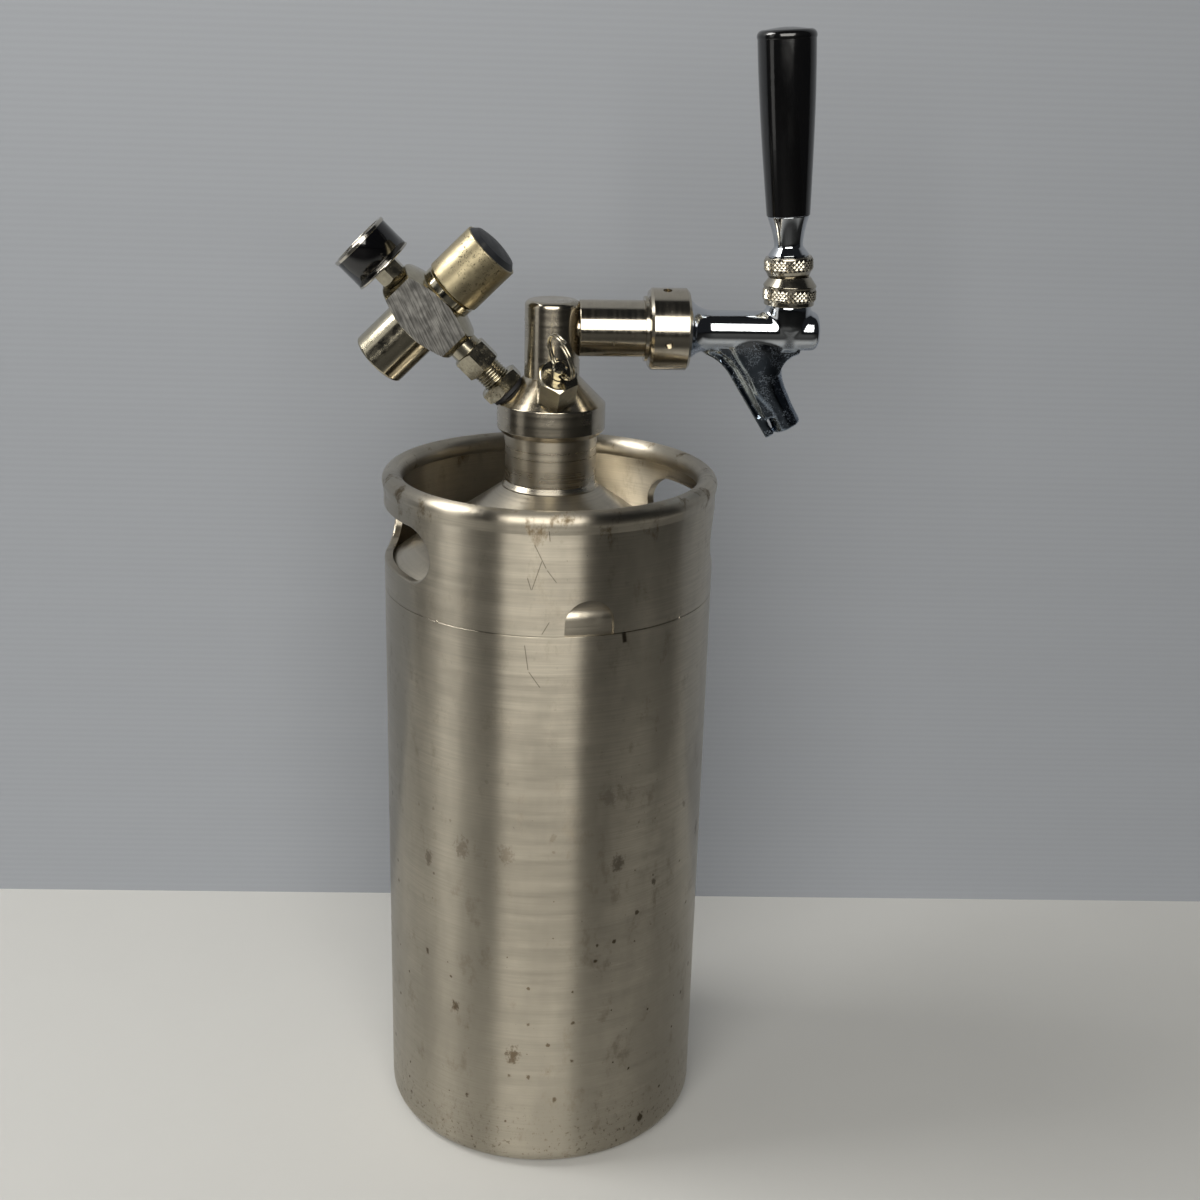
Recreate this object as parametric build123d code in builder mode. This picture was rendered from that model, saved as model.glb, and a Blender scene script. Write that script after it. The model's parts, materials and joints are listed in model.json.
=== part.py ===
from build123d import *

import os
from math import cos, hypot, radians, sin, sqrt, tan

# Five litre stainless mini keg with a screw-in tap head: a cranked-lever beer faucet on a shank,
# a relief valve with a pull ring, and a cartridge regulator with its pressure gauge.
# Millimetres, +Z up. The origin is on the keg's axis, at the level that the keg stands on.
# The tap points along +X, the gas line leaves towards -X and the relief valve towards -Y.

# ------------------------------------------------------------------ sizes: keg
keg_radius = 75.0
sheet = 1.0  # thickness of the drawn stainless sheet
shell_height = 267.5  # open edge of the lower shell
base_corner = 12.0
base_rise = 8.0  # height of the raised middle of the base
foot_inset = 19.0  # from the keg's wall in to the inner edge of the ring that it stands on
base_slope_width = 9.0
foot_edge = 1.5
base_bend = 3.0  # bend between the base's raised middle and its slope
weld_gap = 0.05  # between pieces that are welded together
skirt_overlap = 6.0  # skirt of the dome inside the lower shell
knuckle_rise = 10.0  # from the lower shell's edge up to the turn into the shoulder
knuckle_edge = 6.0
shoulder_slope = 35.0  # degrees
neck_radius = 20.5
neck_depth = 3.9  # below the dome's surface
neck_height = 23.3  # above the dome's surface
neck_band_radius = 20.9
neck_band_height = 3.2
neck_bore = 17.4  # core of the thread that takes the tap head
neck_mouth_bore = 19.0  # recess for the head's seal
neck_mouth_depth = 4.6
neck_weld_radius = 21.9
neck_weld_height = 1.8
neck_weld_edge = 0.6
collar_gap = 0.3  # between the collar's lower edge and the lower shell
collar_height = 54.1  # above the lower shell's edge
rim_stand = 0.8  # how far the rolled rim stands out from the keg's wall
rim_roll = 4.65  # outer radius of the rolled rim's section
rim_roll_opening = 2.2
hand_slot_length = 76.0
hand_slot_height = 24.6
hand_slot_rise = 26.1  # from the lower shell's edge up to a hand slot's middle
hand_slot_lip = 3.6  # depth of the lip turned in round each hand slot
hand_slot_edge = 0.9
collar_turn = 13.4  # degrees from the tap round to the nearer hand slot
notch_width = 21.6
notch_twist = -2.2  # degrees that the notches stand off the slots' square
notch_rise = 15.9  # from the lower shell's edge up to a notch's top

# ------------------------------------------------------------------ sizes: tap head
head_radius = 24.2
head_seat_gap = 0.3  # between the head's foot and the neck
head_foot_chamfer = 2.4
head_edge = 0.4
head_height = 13.9  # heights of the head above the neck's top
column_radius = 12.3
column_height = 59.4
column_edge = 2.5
spigot_radius = 17.0
spigot_depth = 20.2  # below the neck's top
chamber_radius = 13.0
chamber_height = 11.8
seal_radius = 0.8  # section of the head's O-ring
part_gap = 0.1  # round pieces screwed or pushed together
hex_bevel = 0.3  # how far inside its flats a hexagon's chamfer starts
tap_rise = 47.1
beer_bore = 3.0
dip_tube_radius = 4.0
dip_tube_wall = 0.75
dip_tube_socket = 12.0
dip_tube_floor_gap = 6.0
dip_seal_radius = 0.8
dip_seal_depth = 2.4  # from the chamber's roof up to the middle of the dip tube's seal
gas_port_radius = 19.4  # from the keg's axis to the port's middle on the cone
relief_port_radius = 18.25
port_bore = 5.0
port_depth = 8.0
port_passage = 2.0
port_passage_depth = 13.0
spot_face_depth = 0.9
gas_face_radius = 8.6
relief_face_radius = 7.3
shank_face_drop = 14.0  # length below the tap's axis of the flat that takes the shank

# ------------------------------------------------------------------ sizes: gas line and regulator
grommet_radius = 8.2
grommet_thickness = 1.7
stud_radius = 6.5
stud_bore = 2.5
stud_length = 22.9
lock_nut_flats = 18.2
lock_nut_thickness = 6.2
swivel_start = 14.3  # heights along the gas line, from the cone
swivel_flats = 15.5
swivel_hex_length = 10.8
swivel_neck_radius = 6.8
nipple_flange_thickness = 2.0
nipple_radius = 4.4
nipple_depth = 8.0
regulator_reach = 49.3  # from the cone to the middle of the regulator
regulator_roll = 6.0  # degrees that the knob leans forwards
inlet_flat = 18.8  # from the regulator's middle to the faces that take the unions
gauge_flat = 20.2
block_radius = 21.0
block_waist = 7.2  # half the length of the block's round band
block_shoulder = 10.6  # half the height of the block at the bonnet
block_edge = 1.2
block_half_thickness = 12.4
block_bore = 9.0
block_bore_floor = 3.4
bonnet_radius = 12.9
bonnet_ring_height = 4.2
bonnet_neck_radius = 8.0
bonnet_neck_height = 19.0
bonnet_bore = 6.4
bonnet_roof = 2.4
diaphragm_thickness = 0.8
range_spring_radius = 5.4
range_spring_wire = 0.6
range_spring_coils = 5
range_spring_pitch = 2.4
button_thickness = 1.5
knob_gap = 0.5
knob_radius = 13.5
knob_length = 23.4
knob_wall = 1.7
knob_edge = 0.7
knob_cap_height = 4.0
knob_cap_band = 2.4
knob_cap_radius = 10.6
screw_radius = 3.0
cup_radius = 12.9
cup_end = 32.0  # from the regulator's middle
cup_lip_edge = 1.2
cup_mouth_radius = 10.4
cup_mouth_depth = 9.0
cartridge_bore = 4.76
cartridge_bore_length = 8.0
thread_relief = 2.0
pierce_chamber_radius = 6.0
vent_radius = 0.75
vent_place = 24.0
poppet_radius = 1.2
poppet_head_radius = 2.4
poppet_head_thickness = 1.4
pin_flange_thickness = 1.4
pin_radius = 1.2
pin_bore = 0.5
pin_length = 3.0
pin_point = 2.4
cup_seal_thickness = 1.2
cup_seal_bore = 2.6
gauge_stem_flats = 11.6
gauge_stem_radius = 4.8
gauge_stem_depth = 9.0
gauge_passage = 1.25
gauge_start = 26.7
gauge_radius = 14.25
gauge_body_radius = 13.8
gauge_depth = 14.5
gauge_wall = 1.0
gauge_rear_rim = 1.0
gauge_case_hole = 2.5
bezel_height = 0.3
bezel_lip = 1.5
bezel_thickness = 0.5
bezel_edge = 0.2
lens_thickness = 0.8
dial_depth = 2.6  # from the case's mouth down to the dial
dial_thickness = 0.6
needle_length = 10.2
needle_tail = 3.6
needle_width = 0.9
needle_thickness = 0.35
needle_hub_radius = 1.4
needle_gap = 0.3
arbor_radius = 0.5
arbor_length = 1.2  # below the dial's face
needle_rest = 225.0  # degrees round the dial from its right-hand side to the zero mark

# ------------------------------------------------------------------ sizes: relief valve
relief_turn = -87.0  # degrees from the tap round to the relief valve
relief_flats = 16.0
relief_spin = 30.0  # degrees round the valve from a flat to a corner
relief_height = 17.3  # heights along the valve, from the cone
relief_hex_start = 0.9
relief_foot_radius = 7.0
relief_seat_height = 3.0
relief_seat_radius = 2.0
relief_chamber_radius = 5.2
relief_plug_thickness = 3.0
relief_stem_radius = 1.8
relief_stem_clearance = 0.3
relief_disc_radius = 4.4
relief_disc_thickness = 1.4
relief_seal_thickness = 1.0
relief_lift = 2.0
relief_spring_radius = 3.6
relief_spring_wire = 0.4
relief_spring_coils = 4
eye_radius = 3.2
eye_gap = 0.5  # between the closed valve's eye and its body
eye_height = 6.0
eye_edge = 0.8
eye_bore = 2.0
ring_radius = 9.8
ring_wire = 0.55
ring_pitch = 1.25
ring_turns = 2
ring_turn = -61.0  # degrees of the eye's hole round the stem
ring_lean = 0.25  # how far below the hole's middle the wire passes

# ------------------------------------------------------------------ sizes: shank and coupling
shank_start = 11.6
shank_radius = 12.45
shank_spigot_radius = 6.0
shank_spigot_depth = 6.0
shank_bore = 4.0
shank_end = 48.4
shank_edge = 0.5
shank_flange_radius = 13.8
snap_ring_place = 40.3
snap_ring_width = 1.5
snap_ring_radius = 14.3
snap_groove_depth = 0.8
coupling_radius = 18.0
coupling_start = 42.4
coupling_length = 17.6
coupling_lip = 2.6
coupling_lip_gap = 0.25
coupling_thread = 14.4
coupling_edge = 1.2
spanner_holes = 4
spanner_hole_radius = 2.0
spanner_hole_depth = 2.4
spanner_hole_place = 50.0
spanner_turn = 12.0  # degrees
gasket_thickness = 2.0

# ------------------------------------------------------------------ sizes: faucet
faucet_thread = 14.2
flare_start = 60.2
flare_radius = 14.7
flare_end = 69.5
flare_hollow = 0.32  # share of the flare's height that is left at its hollow
flare_hollow_place = 0.4  # place of the hollow along the flare
barrel_radius = 8.7
nose_end = 118.8
nose_dome = 1.4
nose_edge = 3.0
inlet_bore = 7.0
seat_place = 73.0
shaft_bore = 5.0
shaft_bore_end = 115.6
lever_x = 104.4
lever_rise = 13.2  # heights of the lever's pivot, boss and bonnet above the tap's axis
boss_radius = 9.9
boss_bend_rise = 2.0  # where the boss starts to draw in, above the tap's axis
boss_foot_radius = 6.8
boss_foot_drop = 8.0
boss_blend = 1.8
boss_rise = 11.7
boss_neck_radius = 9.3
boss_neck_rise = 16.7
pocket_width = 6.2
pocket_back = 7.0  # room behind the lever's pivot for its lower arm
pocket_front = 4.4
spout_slope = 61.2  # degrees below the horizontal
spout_end_x = 107.5
spout_drop = 43.3  # from the tap's axis down to the spout's end
spout_sections = (  # distance up the spout, shift towards the rib, half depth, half width
    (0.0, 0.15, 6.0, 5.8),
    (5.5, 0.3, 6.25, 5.95),
    (11.0, 0.55, 6.65, 6.1),
    (17.0, 1.3, 7.8, 6.5),
    (26.0, 0.6, 9.8, 7.1),
    (34.0, -3.1, 14.2, 7.6),
    (42.0, -2.6, 14.4, 7.8),
    (50.0, -1.0, 12.5, 7.6),
)
spout_bore = 4.0
spout_bore_length = 30.0
spout_passage = 3.4  # bore between the valve and the spout's own bore
rib_tip_x = 97.3  # back of the rib, seen from the side: its tip, bend and root
rib_tip_drop = 48.4
rib_bend_x = 79.0
rib_bend_drop = 19.4
rib_root_x = 67.0
rib_root_drop = 10.7
slit_share = 0.33  # part of the rib's straight run that stands free of the spout
rib_thickness = 4.2
rib_width = 7.6
web_width = 5.0
web_reach = 3.2  # depth of the web between the rib and the spout
groove_radius = 1.0  # hollow along each side of the rib
groove_share = 0.3  # part of the rib's straight run below the hollow
bonnet_nut_radius = 11.7
bonnet_nut_rise = 24.2
bonnet_nut_edge = 0.6
bonnet_nut_shoulder_rise = 20.3
bonnet_nut_top_radius = 8.9
bonnet_nut_throat = 6.4
bonnet_nut_hole = 8.2
washer_thickness = 2.3

# ------------------------------------------------------------------ sizes: valve shaft and lever
running_clearance = 0.3
shaft_stem_radius = 2.5
shaft_tail = 64.5
seat_washer_radius = 6.4
seat_washer_thickness = 2.6
seat_washer_gap = 0.2
tail_nut_flats = 9.2
tail_nut_thickness = 2.4
shaft_guide_start = 97.4
shaft_guide_end = 113.6
shaft_slot_gap = 0.3
shaft_slot_depth = 3.4
shaft_slot_straight = 1.7
lever_lean = 4.0  # degrees that the closed lever leans back
ball_radius = 6.2
lever_arm = 13.2
lever_arm_radius = 2.1
lever_tip_radius = 2.6
lever_stem_radius = 2.6
lever_stem_top = 27.0
lever_thread_radius = 4.0
swing_radius = 14.4  # everything under the lock ring stays inside this radius of the pivot
lock_ring_start = 12.5  # heights along the lever, from its pivot
lock_ring_radius = 10.7
lock_ring_foot_radius = 9.7
lock_ring_height = 7.0
lock_ring_edge = 0.6
ferrule_foot_radius = 8.8
ferrule_neck_radius = 6.3
ferrule_neck_place = 25.4
ferrule_waist = 1.6
ferrule_foot_band = 1.4
ferrule_flare = 0.36
ferrule_top_radius = 9.3
ferrule_top = 37.1
grip_gap = 0.2
grip_foot_radius = 9.5
grip_belly_radius = 11.1
grip_belly_place = 65.0
grip_shoulder_radius = 12.1
grip_shoulder_place = 88.0
grip_top_radius = 12.5
grip_top_place = 110.0
grip_top = 114.8
grip_edge = 3.0
grip_crown = 1.0
insert_radius = 5.6
insert_length = 20.0

# ------------------------------------------------------------------ frames worked out from the sizes
os.makedirs("parts", exist_ok=True)
foot_inner_radius = keg_radius - foot_inset
base_rise_radius = foot_inner_radius - base_slope_width
skirt_radius = keg_radius - sheet - weld_gap
neck_hole = neck_radius + weld_gap
knuckle_height = shell_height + knuckle_rise
shoulder_at_neck = knuckle_height + (skirt_radius - neck_hole) * tan(radians(shoulder_slope))
neck_foot = shoulder_at_neck - neck_depth
neck_top = shoulder_at_neck + neck_height
collar_top = shell_height + collar_height
rim_radius = keg_radius + rim_stand
hand_slot_centre = shell_height + hand_slot_rise
notch_top = shell_height + notch_rise
head_shoulder = neck_top + head_height
column_top = neck_top + column_height
spigot_foot = neck_top - spigot_depth
chamber_top = neck_top + chamber_height
tap_height = neck_top + tap_rise
lever_z = tap_height + lever_rise
boss_shoulder = tap_height + boss_rise
boss_neck_top = tap_height + boss_neck_rise
spout_end_z = tap_height - spout_drop
rib_tip = (rib_tip_x, tap_height - rib_tip_drop)
rib_bend = (rib_bend_x, tap_height - rib_bend_drop)
rib_root = (rib_root_x, tap_height - rib_root_drop)
bonnet_nut_top = tap_height + bonnet_nut_rise
bonnet_nut_shoulder = tap_height + bonnet_nut_shoulder_rise
head_foot = neck_top + head_seat_gap
cone_top = head_shoulder + head_radius - column_radius


def port_plane(radius, turn):
    """The plane on the head's cone whose normal is a port's axis, leaning up at 45 degrees."""
    outward = Vector(cos(radians(turn)), sin(radians(turn)), 0)
    sideways = Vector(-sin(radians(turn)), cos(radians(turn)), 0)
    place = outward * radius + Vector(0, 0, head_shoulder + head_radius - radius)
    return Plane(origin=place, x_dir=sideways, z_dir=outward + Vector(0, 0, 1))


gas_line = port_plane(gas_port_radius, 180.0)
relief_line = port_plane(relief_port_radius, relief_turn)
tap_line = Plane(origin=(0, 0, tap_height), x_dir=(0, 1, 0), z_dir=(1, 0, 0))
reg_middle = gas_line.offset(regulator_reach).origin
knob_upward = Vector(1, 0, 1).normalized() * cos(radians(regulator_roll))
knob_line = Plane(
    origin=reg_middle,
    x_dir=gas_line.z_dir,
    z_dir=knob_upward + Vector(0, -sin(radians(regulator_roll)), 0),
)
cup_line = Plane(origin=reg_middle, x_dir=gas_line.z_dir, z_dir=-knob_line.z_dir)
lever_line = Plane(
    origin=(lever_x, 0, lever_z),
    x_dir=(cos(radians(lever_lean)), 0, sin(radians(lever_lean))),
    z_dir=(-sin(radians(lever_lean)), 0, cos(radians(lever_lean))),
)
boss_line = Plane(origin=(lever_x, 0, 0), x_dir=(1, 0, 0), z_dir=(0, 0, 1))
spout_down = Vector(cos(radians(spout_slope)), 0, -sin(radians(spout_slope)))
spout_line = Plane(origin=(spout_end_x, 0, spout_end_z), x_dir=(0, 1, 0), z_dir=-spout_down)
upright_pivot = boss_line.offset(lever_z)
pocket_radius = ball_radius + part_gap
lever_tip_x = lever_x + lever_arm * sin(radians(lever_lean))


# ------------------------------------------------------------------ operations used by many pieces
def spun(line, angle):
    """The same plane, its x direction turned about its normal."""
    return Plane(
        origin=line.origin, x_dir=line.x_dir.rotate(Axis((0, 0, 0), line.z_dir), angle), z_dir=line.z_dir
    )


def lathe_plane(line):
    """The plane whose sketches are (radius, height) outlines round the given plane's normal."""
    return Plane(origin=line.origin, x_dir=line.x_dir, z_dir=-line.y_dir)


def turn(line, *outline, mode=Mode.ADD):
    """Turns a closed (radius, height) outline round a line, in the part that is open."""
    with BuildSketch(lathe_plane(line)) as profile:
        with BuildLine():
            Polyline(*outline, close=True)
        make_face()
    revolve(profile.sketch, axis=Axis(line.origin, line.z_dir), mode=mode)


def tube(line, outer, inner, start, end):
    """Adds a plain tube along a line to the part that is open."""
    turn(line, (inner, start), (outer, start), (outer, end), (inner, end))


def bore(line, radius, start, end):
    """Cuts a round hole along a line from the part that is open."""
    turn(line, (0, start), (radius, start), (radius, end), (0, end), mode=Mode.SUBTRACT)


def hexagon(line, flats, start, end, spin=0.0):
    """Adds a hexagon bar, its corners chamfered at both ends, to the part that is open."""
    corner = flats / sqrt(3) + hex_bevel
    face = flats / 2 - hex_bevel
    bevel = (corner - face) * tan(radians(30))
    with BuildSketch(line.offset(start)) as section:
        RegularPolygon(radius=flats / 2, side_count=6, major_radius=False, rotation=spin)
    extrude(section.sketch, amount=end - start)
    turn(
        line,
        (0, start),
        (face, start),
        (corner, start + bevel),
        (corner, end - bevel),
        (face, end),
        (0, end),
        mode=Mode.INTERSECT,
    )


def o_ring(line, mean_radius, section, height):
    """Adds a ring of round section to the part that is open."""
    with BuildSketch(lathe_plane(line)) as profile:
        with Locations((mean_radius, height)):
            Circle(section)
    revolve(profile.sketch, axis=Axis(line.origin, line.z_dir))


def coil(line, radius, wire, pitch, turns, start):
    """Adds a round-wire coil that winds up a line, from its x direction, to the part that is open."""
    path = Helix(pitch=pitch, height=pitch * turns, radius=radius, mode=Mode.PRIVATE)
    path = path.moved(line.offset(start).location)
    with BuildSketch(Plane(origin=path @ 0, z_dir=path % 0)) as section:
        Circle(wire)
    sweep(section.sketch, path=path, is_frenet=True)


def rims(piece, radius):
    """The circular edges of a piece that have the given radius."""
    circles = piece.edges().filter_by(GeomType.CIRCLE)
    return circles.filter_by(lambda edge: abs(edge.radius - radius) < weld_gap)


def save(piece, name):
    """Labels a finished piece and writes it to its own STEP file."""
    piece.part.label = name
    export_step(piece.part, f"parts/{name}.step")


# ------------------------------------------------------------------ keg
# Deep-drawn lower shell: a raised middle to its base and a flat ring that it stands on.
with BuildPart() as lower_shell:
    with BuildSketch(Plane.XZ):
        with BuildLine():
            FilletPolyline(
                (0, base_rise),
                (base_rise_radius, base_rise),
                (foot_inner_radius, 0),
                (keg_radius, 0),
                (keg_radius, shell_height),
                radius=[base_bend, foot_edge, base_corner],
            )
            offset(amount=sheet, side=Side.LEFT)
        make_face()
    revolve(axis=Axis.Z)
save(lower_shell, "lower_shell")

# Spun dome: a skirt that fits inside the lower shell, a knuckle and a conical shoulder.
with BuildPart() as upper_dome:
    with BuildSketch(Plane.XZ):
        with BuildLine():
            FilletPolyline(
                (skirt_radius, shell_height - skirt_overlap),
                (skirt_radius, knuckle_height),
                (neck_bore, knuckle_height + (skirt_radius - neck_bore) * tan(radians(shoulder_slope))),
                radius=knuckle_edge,
            )
            offset(amount=sheet, side=Side.LEFT)
        make_face()
    revolve(axis=Axis.Z)
    bore(Plane.XY, neck_hole, 0, neck_top)
save(upper_dome, "upper_dome")

# Threaded neck, welded through the dome, with a recess in its mouth for the head's seal.
weld_foot = shoulder_at_neck + weld_gap
weld_drop = (neck_weld_radius - neck_hole) * tan(radians(shoulder_slope))
with BuildPart() as neck:
    turn(
        Plane.XY,
        (neck_bore, neck_foot),
        (neck_radius, neck_foot),
        (neck_radius, weld_foot + weld_gap),
        (neck_weld_radius, weld_foot + weld_gap - weld_drop),
        (neck_weld_radius, weld_foot + weld_gap - weld_drop + neck_weld_edge),
        (neck_radius, weld_foot + neck_weld_height),
        (neck_radius, neck_top - neck_band_height),
        (neck_band_radius, neck_top - neck_band_height),
        (neck_band_radius, neck_top),
        (neck_mouth_bore, neck_top),
        (neck_mouth_bore, neck_top - neck_mouth_depth),
        (neck_bore, neck_top - neck_mouth_depth),
    )
save(neck, "neck")

# The lips that are turned inwards round the two hand slots of the collar.
hand_turns = (collar_turn, collar_turn + 180.0)


def slot_plane(turn_angle):
    """An upright plane on the keg's axis that faces a hand slot or a drain notch."""
    across = radians(turn_angle)
    outward = Vector(cos(across), sin(across), 0)
    return Plane(origin=(0, 0, hand_slot_centre), x_dir=(-sin(across), cos(across), 0), z_dir=outward)


with BuildPart() as slot_lips:
    for hand_turn in hand_turns:
        with BuildSketch(slot_plane(hand_turn)):
            SlotOverall(hand_slot_length + 2 * sheet, hand_slot_height + 2 * sheet)
        extrude(amount=keg_radius)
    turn(
        Plane.XY,
        (keg_radius - hand_slot_lip, shell_height),
        (keg_radius - sheet / 2, shell_height),
        (keg_radius - sheet / 2, collar_top),
        (keg_radius - hand_slot_lip, collar_top),
        mode=Mode.INTERSECT,
    )

# Collar: a band with a rolled rim, two lipped hand slots and two drain notches.
roll_centre = (rim_radius - rim_roll, collar_top - rim_roll)
collar_foot = shell_height + collar_gap
rim_start = roll_centre[1] - rim_roll
with BuildPart() as collar:
    with BuildSketch(Plane.XZ):
        with BuildLine():
            Polyline(
                (keg_radius - sheet, collar_foot),
                (keg_radius, collar_foot),
                (keg_radius, rim_start),
                (rim_radius, roll_centre[1]),
                (rim_radius - sheet, roll_centre[1]),
                (keg_radius - sheet, rim_start),
                close=True,
            )
        make_face()
        with Locations(roll_centre):
            Circle(rim_roll)
            Circle(rim_roll - sheet, mode=Mode.SUBTRACT)
        with Locations((roll_centre[0], roll_centre[1] - rim_roll)):
            Rectangle(rim_roll_opening, rim_roll, mode=Mode.SUBTRACT)
    revolve(axis=Axis.Z)
    add(slot_lips.part)
    for hand_turn in hand_turns:
        with BuildSketch(slot_plane(hand_turn)):
            SlotOverall(hand_slot_length, hand_slot_height)
        extrude(amount=rim_radius, mode=Mode.SUBTRACT)
    slot_reach = hand_slot_height / 2 + weld_gap
    slot_rim = collar.edges().filter_by(
        lambda edge: abs((edge @ 0.5).Z - hand_slot_centre) < slot_reach
        and hypot((edge @ 0.5).X, (edge @ 0.5).Y) > keg_radius - weld_gap
    )
    fillet(slot_rim, radius=hand_slot_edge)
    for notch_turn in (collar_turn + notch_twist - 90.0, collar_turn + notch_twist + 90.0):
        with BuildSketch(slot_plane(notch_turn)):
            with Locations((0, notch_top - notch_width / 2 - hand_slot_centre)):
                Circle(notch_width / 2)
            with Locations((0, collar_foot - hand_slot_centre)):
                Rectangle(notch_width, 2 * (notch_top - notch_width / 2 - collar_foot))
        extrude(amount=rim_radius, mode=Mode.SUBTRACT)
save(collar, "collar")


# ------------------------------------------------------------------ tap head
# Turned head: ring, cone and column above, threaded spigot and gas chamber below.
seal_height = neck_top - neck_mouth_depth + seal_radius + part_gap
socket_top = chamber_top + dip_tube_socket
shank_socket_floor = shank_start - shank_spigot_depth
dip_seal_height = chamber_top + dip_seal_depth
with BuildPart() as spear_head:
    turn(
        Plane.XY,
        (chamber_radius, spigot_foot),
        (spigot_radius, spigot_foot),
        (spigot_radius, head_foot),
        (head_radius - head_foot_chamfer, head_foot),
        (head_radius, head_foot + head_foot_chamfer),
        (head_radius, head_shoulder),
        (column_radius, cone_top),
        (column_radius, column_top),
        (0, column_top),
        (0, chamber_top),
        (chamber_radius, chamber_top),
    )
    fillet(spear_head.edges().sort_by(Axis.Z)[-1], radius=column_edge)
    fillet(rims(spear_head, head_radius), radius=head_edge)
    with BuildSketch(tap_line.offset(shank_start)):
        with Locations((0, (column_top - tap_height - shank_face_drop) / 2)):
            Rectangle(2 * column_radius, column_top - tap_height + shank_face_drop)
    extrude(amount=column_radius, mode=Mode.SUBTRACT)
    bore(tap_line, shank_spigot_radius + part_gap, shank_socket_floor, column_radius)
    bore(tap_line, beer_bore, 0, shank_socket_floor)
    bore(Plane.XY, beer_bore, chamber_top, tap_height)
    bore(Plane.XY, dip_tube_radius + part_gap, chamber_top, socket_top)
    bore(
        Plane.XY,
        dip_tube_radius + part_gap + 2 * dip_seal_radius,
        dip_seal_height - dip_seal_radius - part_gap,
        dip_seal_height + dip_seal_radius + part_gap,
    )
    for port, face_radius in ((gas_line, gas_face_radius), (relief_line, relief_face_radius)):
        bore(port, face_radius, -spot_face_depth, face_radius)
        bore(port, port_bore, -port_depth, 0)
        bore(port, port_passage, -port_passage_depth, 0)
save(spear_head, "spear_head")

with BuildPart() as head_seal:
    o_ring(Plane.XY, spigot_radius + seal_radius + part_gap, seal_radius, seal_height)
save(head_seal, "head_seal")

dip_tube_top = socket_top - part_gap
dip_tube_foot = base_rise + sheet + dip_tube_floor_gap
with BuildPart() as dip_tube:
    tube(Plane.XY, dip_tube_radius, dip_tube_radius - dip_tube_wall, dip_tube_foot, dip_tube_top)
save(dip_tube, "dip_tube")

with BuildPart() as dip_tube_seal:
    dip_seal_middle = dip_tube_radius + dip_seal_radius + part_gap / 2
    o_ring(Plane.XY, dip_seal_middle, dip_seal_radius - weld_gap, dip_seal_height)
save(dip_tube_seal, "dip_tube_seal")

# ------------------------------------------------------------------ gas line
lock_nut_start = grommet_thickness - spot_face_depth
with BuildPart() as gas_grommet:
    tube(gas_line, grommet_radius, stud_radius + part_gap, -spot_face_depth, lock_nut_start)
save(gas_grommet, "gas_grommet")

lock_nut_end = lock_nut_start + lock_nut_thickness
with BuildPart() as lock_nut:
    hexagon(gas_line, lock_nut_flats, lock_nut_start, lock_nut_end)
    bore(gas_line, stud_radius + part_gap, lock_nut_start, lock_nut_end)
save(lock_nut, "lock_nut")

stud_end = stud_length - spot_face_depth
with BuildPart() as gas_stud:
    turn(
        gas_line,
        (stud_bore, part_gap - port_depth),
        (port_bore - part_gap, part_gap - port_depth),
        (port_bore - part_gap, -spot_face_depth),
        (stud_radius, -spot_face_depth),
        (stud_radius, stud_end),
        (stud_bore, stud_end),
    )
save(gas_stud, "gas_stud")

# Swivel nut: it draws the nipple's flange down on the end of the stud.
gauge_line = gas_line.offset(regulator_reach)
block_face = regulator_reach - inlet_flat
swivel_hex_end = swivel_start + swivel_hex_length
swivel_end = block_face - running_clearance
flange_start = stud_end + part_gap
flange_end = flange_start + nipple_flange_thickness
with BuildPart() as swivel_nut:
    hexagon(gas_line, swivel_flats, swivel_start, swivel_hex_end)
    turn(
        gas_line,
        (0, swivel_hex_end),
        (swivel_neck_radius, swivel_hex_end),
        (swivel_neck_radius, swivel_end),
        (0, swivel_end),
    )
    bore(gas_line, stud_radius + part_gap, swivel_start, flange_end + part_gap)
    bore(gas_line, nipple_radius + part_gap, swivel_start, swivel_end)
save(swivel_nut, "swivel_nut")

with BuildPart() as gas_nipple:
    turn(
        gas_line,
        (port_passage, flange_start),
        (stud_radius, flange_start),
        (stud_radius, flange_end),
        (nipple_radius, flange_end),
        (nipple_radius, block_face + nipple_depth),
        (port_passage, block_face + nipple_depth),
    )
save(gas_nipple, "gas_nipple")

# ------------------------------------------------------------------ regulator
# Forged block: a round band between two cones, milled flat on its two broad sides.
nipple_end = nipple_depth - inlet_flat
gauge_bore_end = gauge_flat - gauge_stem_depth
with BuildPart() as regulator_block:
    turn(
        knob_line,
        (0, -block_shoulder),
        (bonnet_radius, -block_shoulder),
        (block_radius, -block_waist),
        (block_radius, block_waist),
        (bonnet_radius, block_shoulder),
        (0, block_shoulder),
    )
    fillet(rims(regulator_block, block_radius), radius=block_edge)
    with BuildSketch(knob_line.offset(-block_shoulder)):
        Rectangle(2 * block_radius, 2 * block_half_thickness)
    extrude(amount=2 * block_shoulder, mode=Mode.INTERSECT)
    bore(knob_line, block_bore, block_bore_floor, block_shoulder)
    bore(cup_line, block_bore, block_bore_floor, block_shoulder)
    bore(knob_line, poppet_radius + running_clearance, -block_bore_floor, block_bore_floor)
    bore(gauge_line, swivel_neck_radius + part_gap, -block_radius, -inlet_flat)
    bore(gauge_line, nipple_radius + part_gap, -inlet_flat, nipple_end)
    bore(gauge_line, gauge_stem_flats / sqrt(3) + part_gap, gauge_flat, block_radius)
    bore(gauge_line, gauge_stem_radius + part_gap, gauge_bore_end, gauge_flat)
    bore(gauge_line, gauge_passage, nipple_end, gauge_bore_end)
save(regulator_block, "regulator_block")

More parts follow.
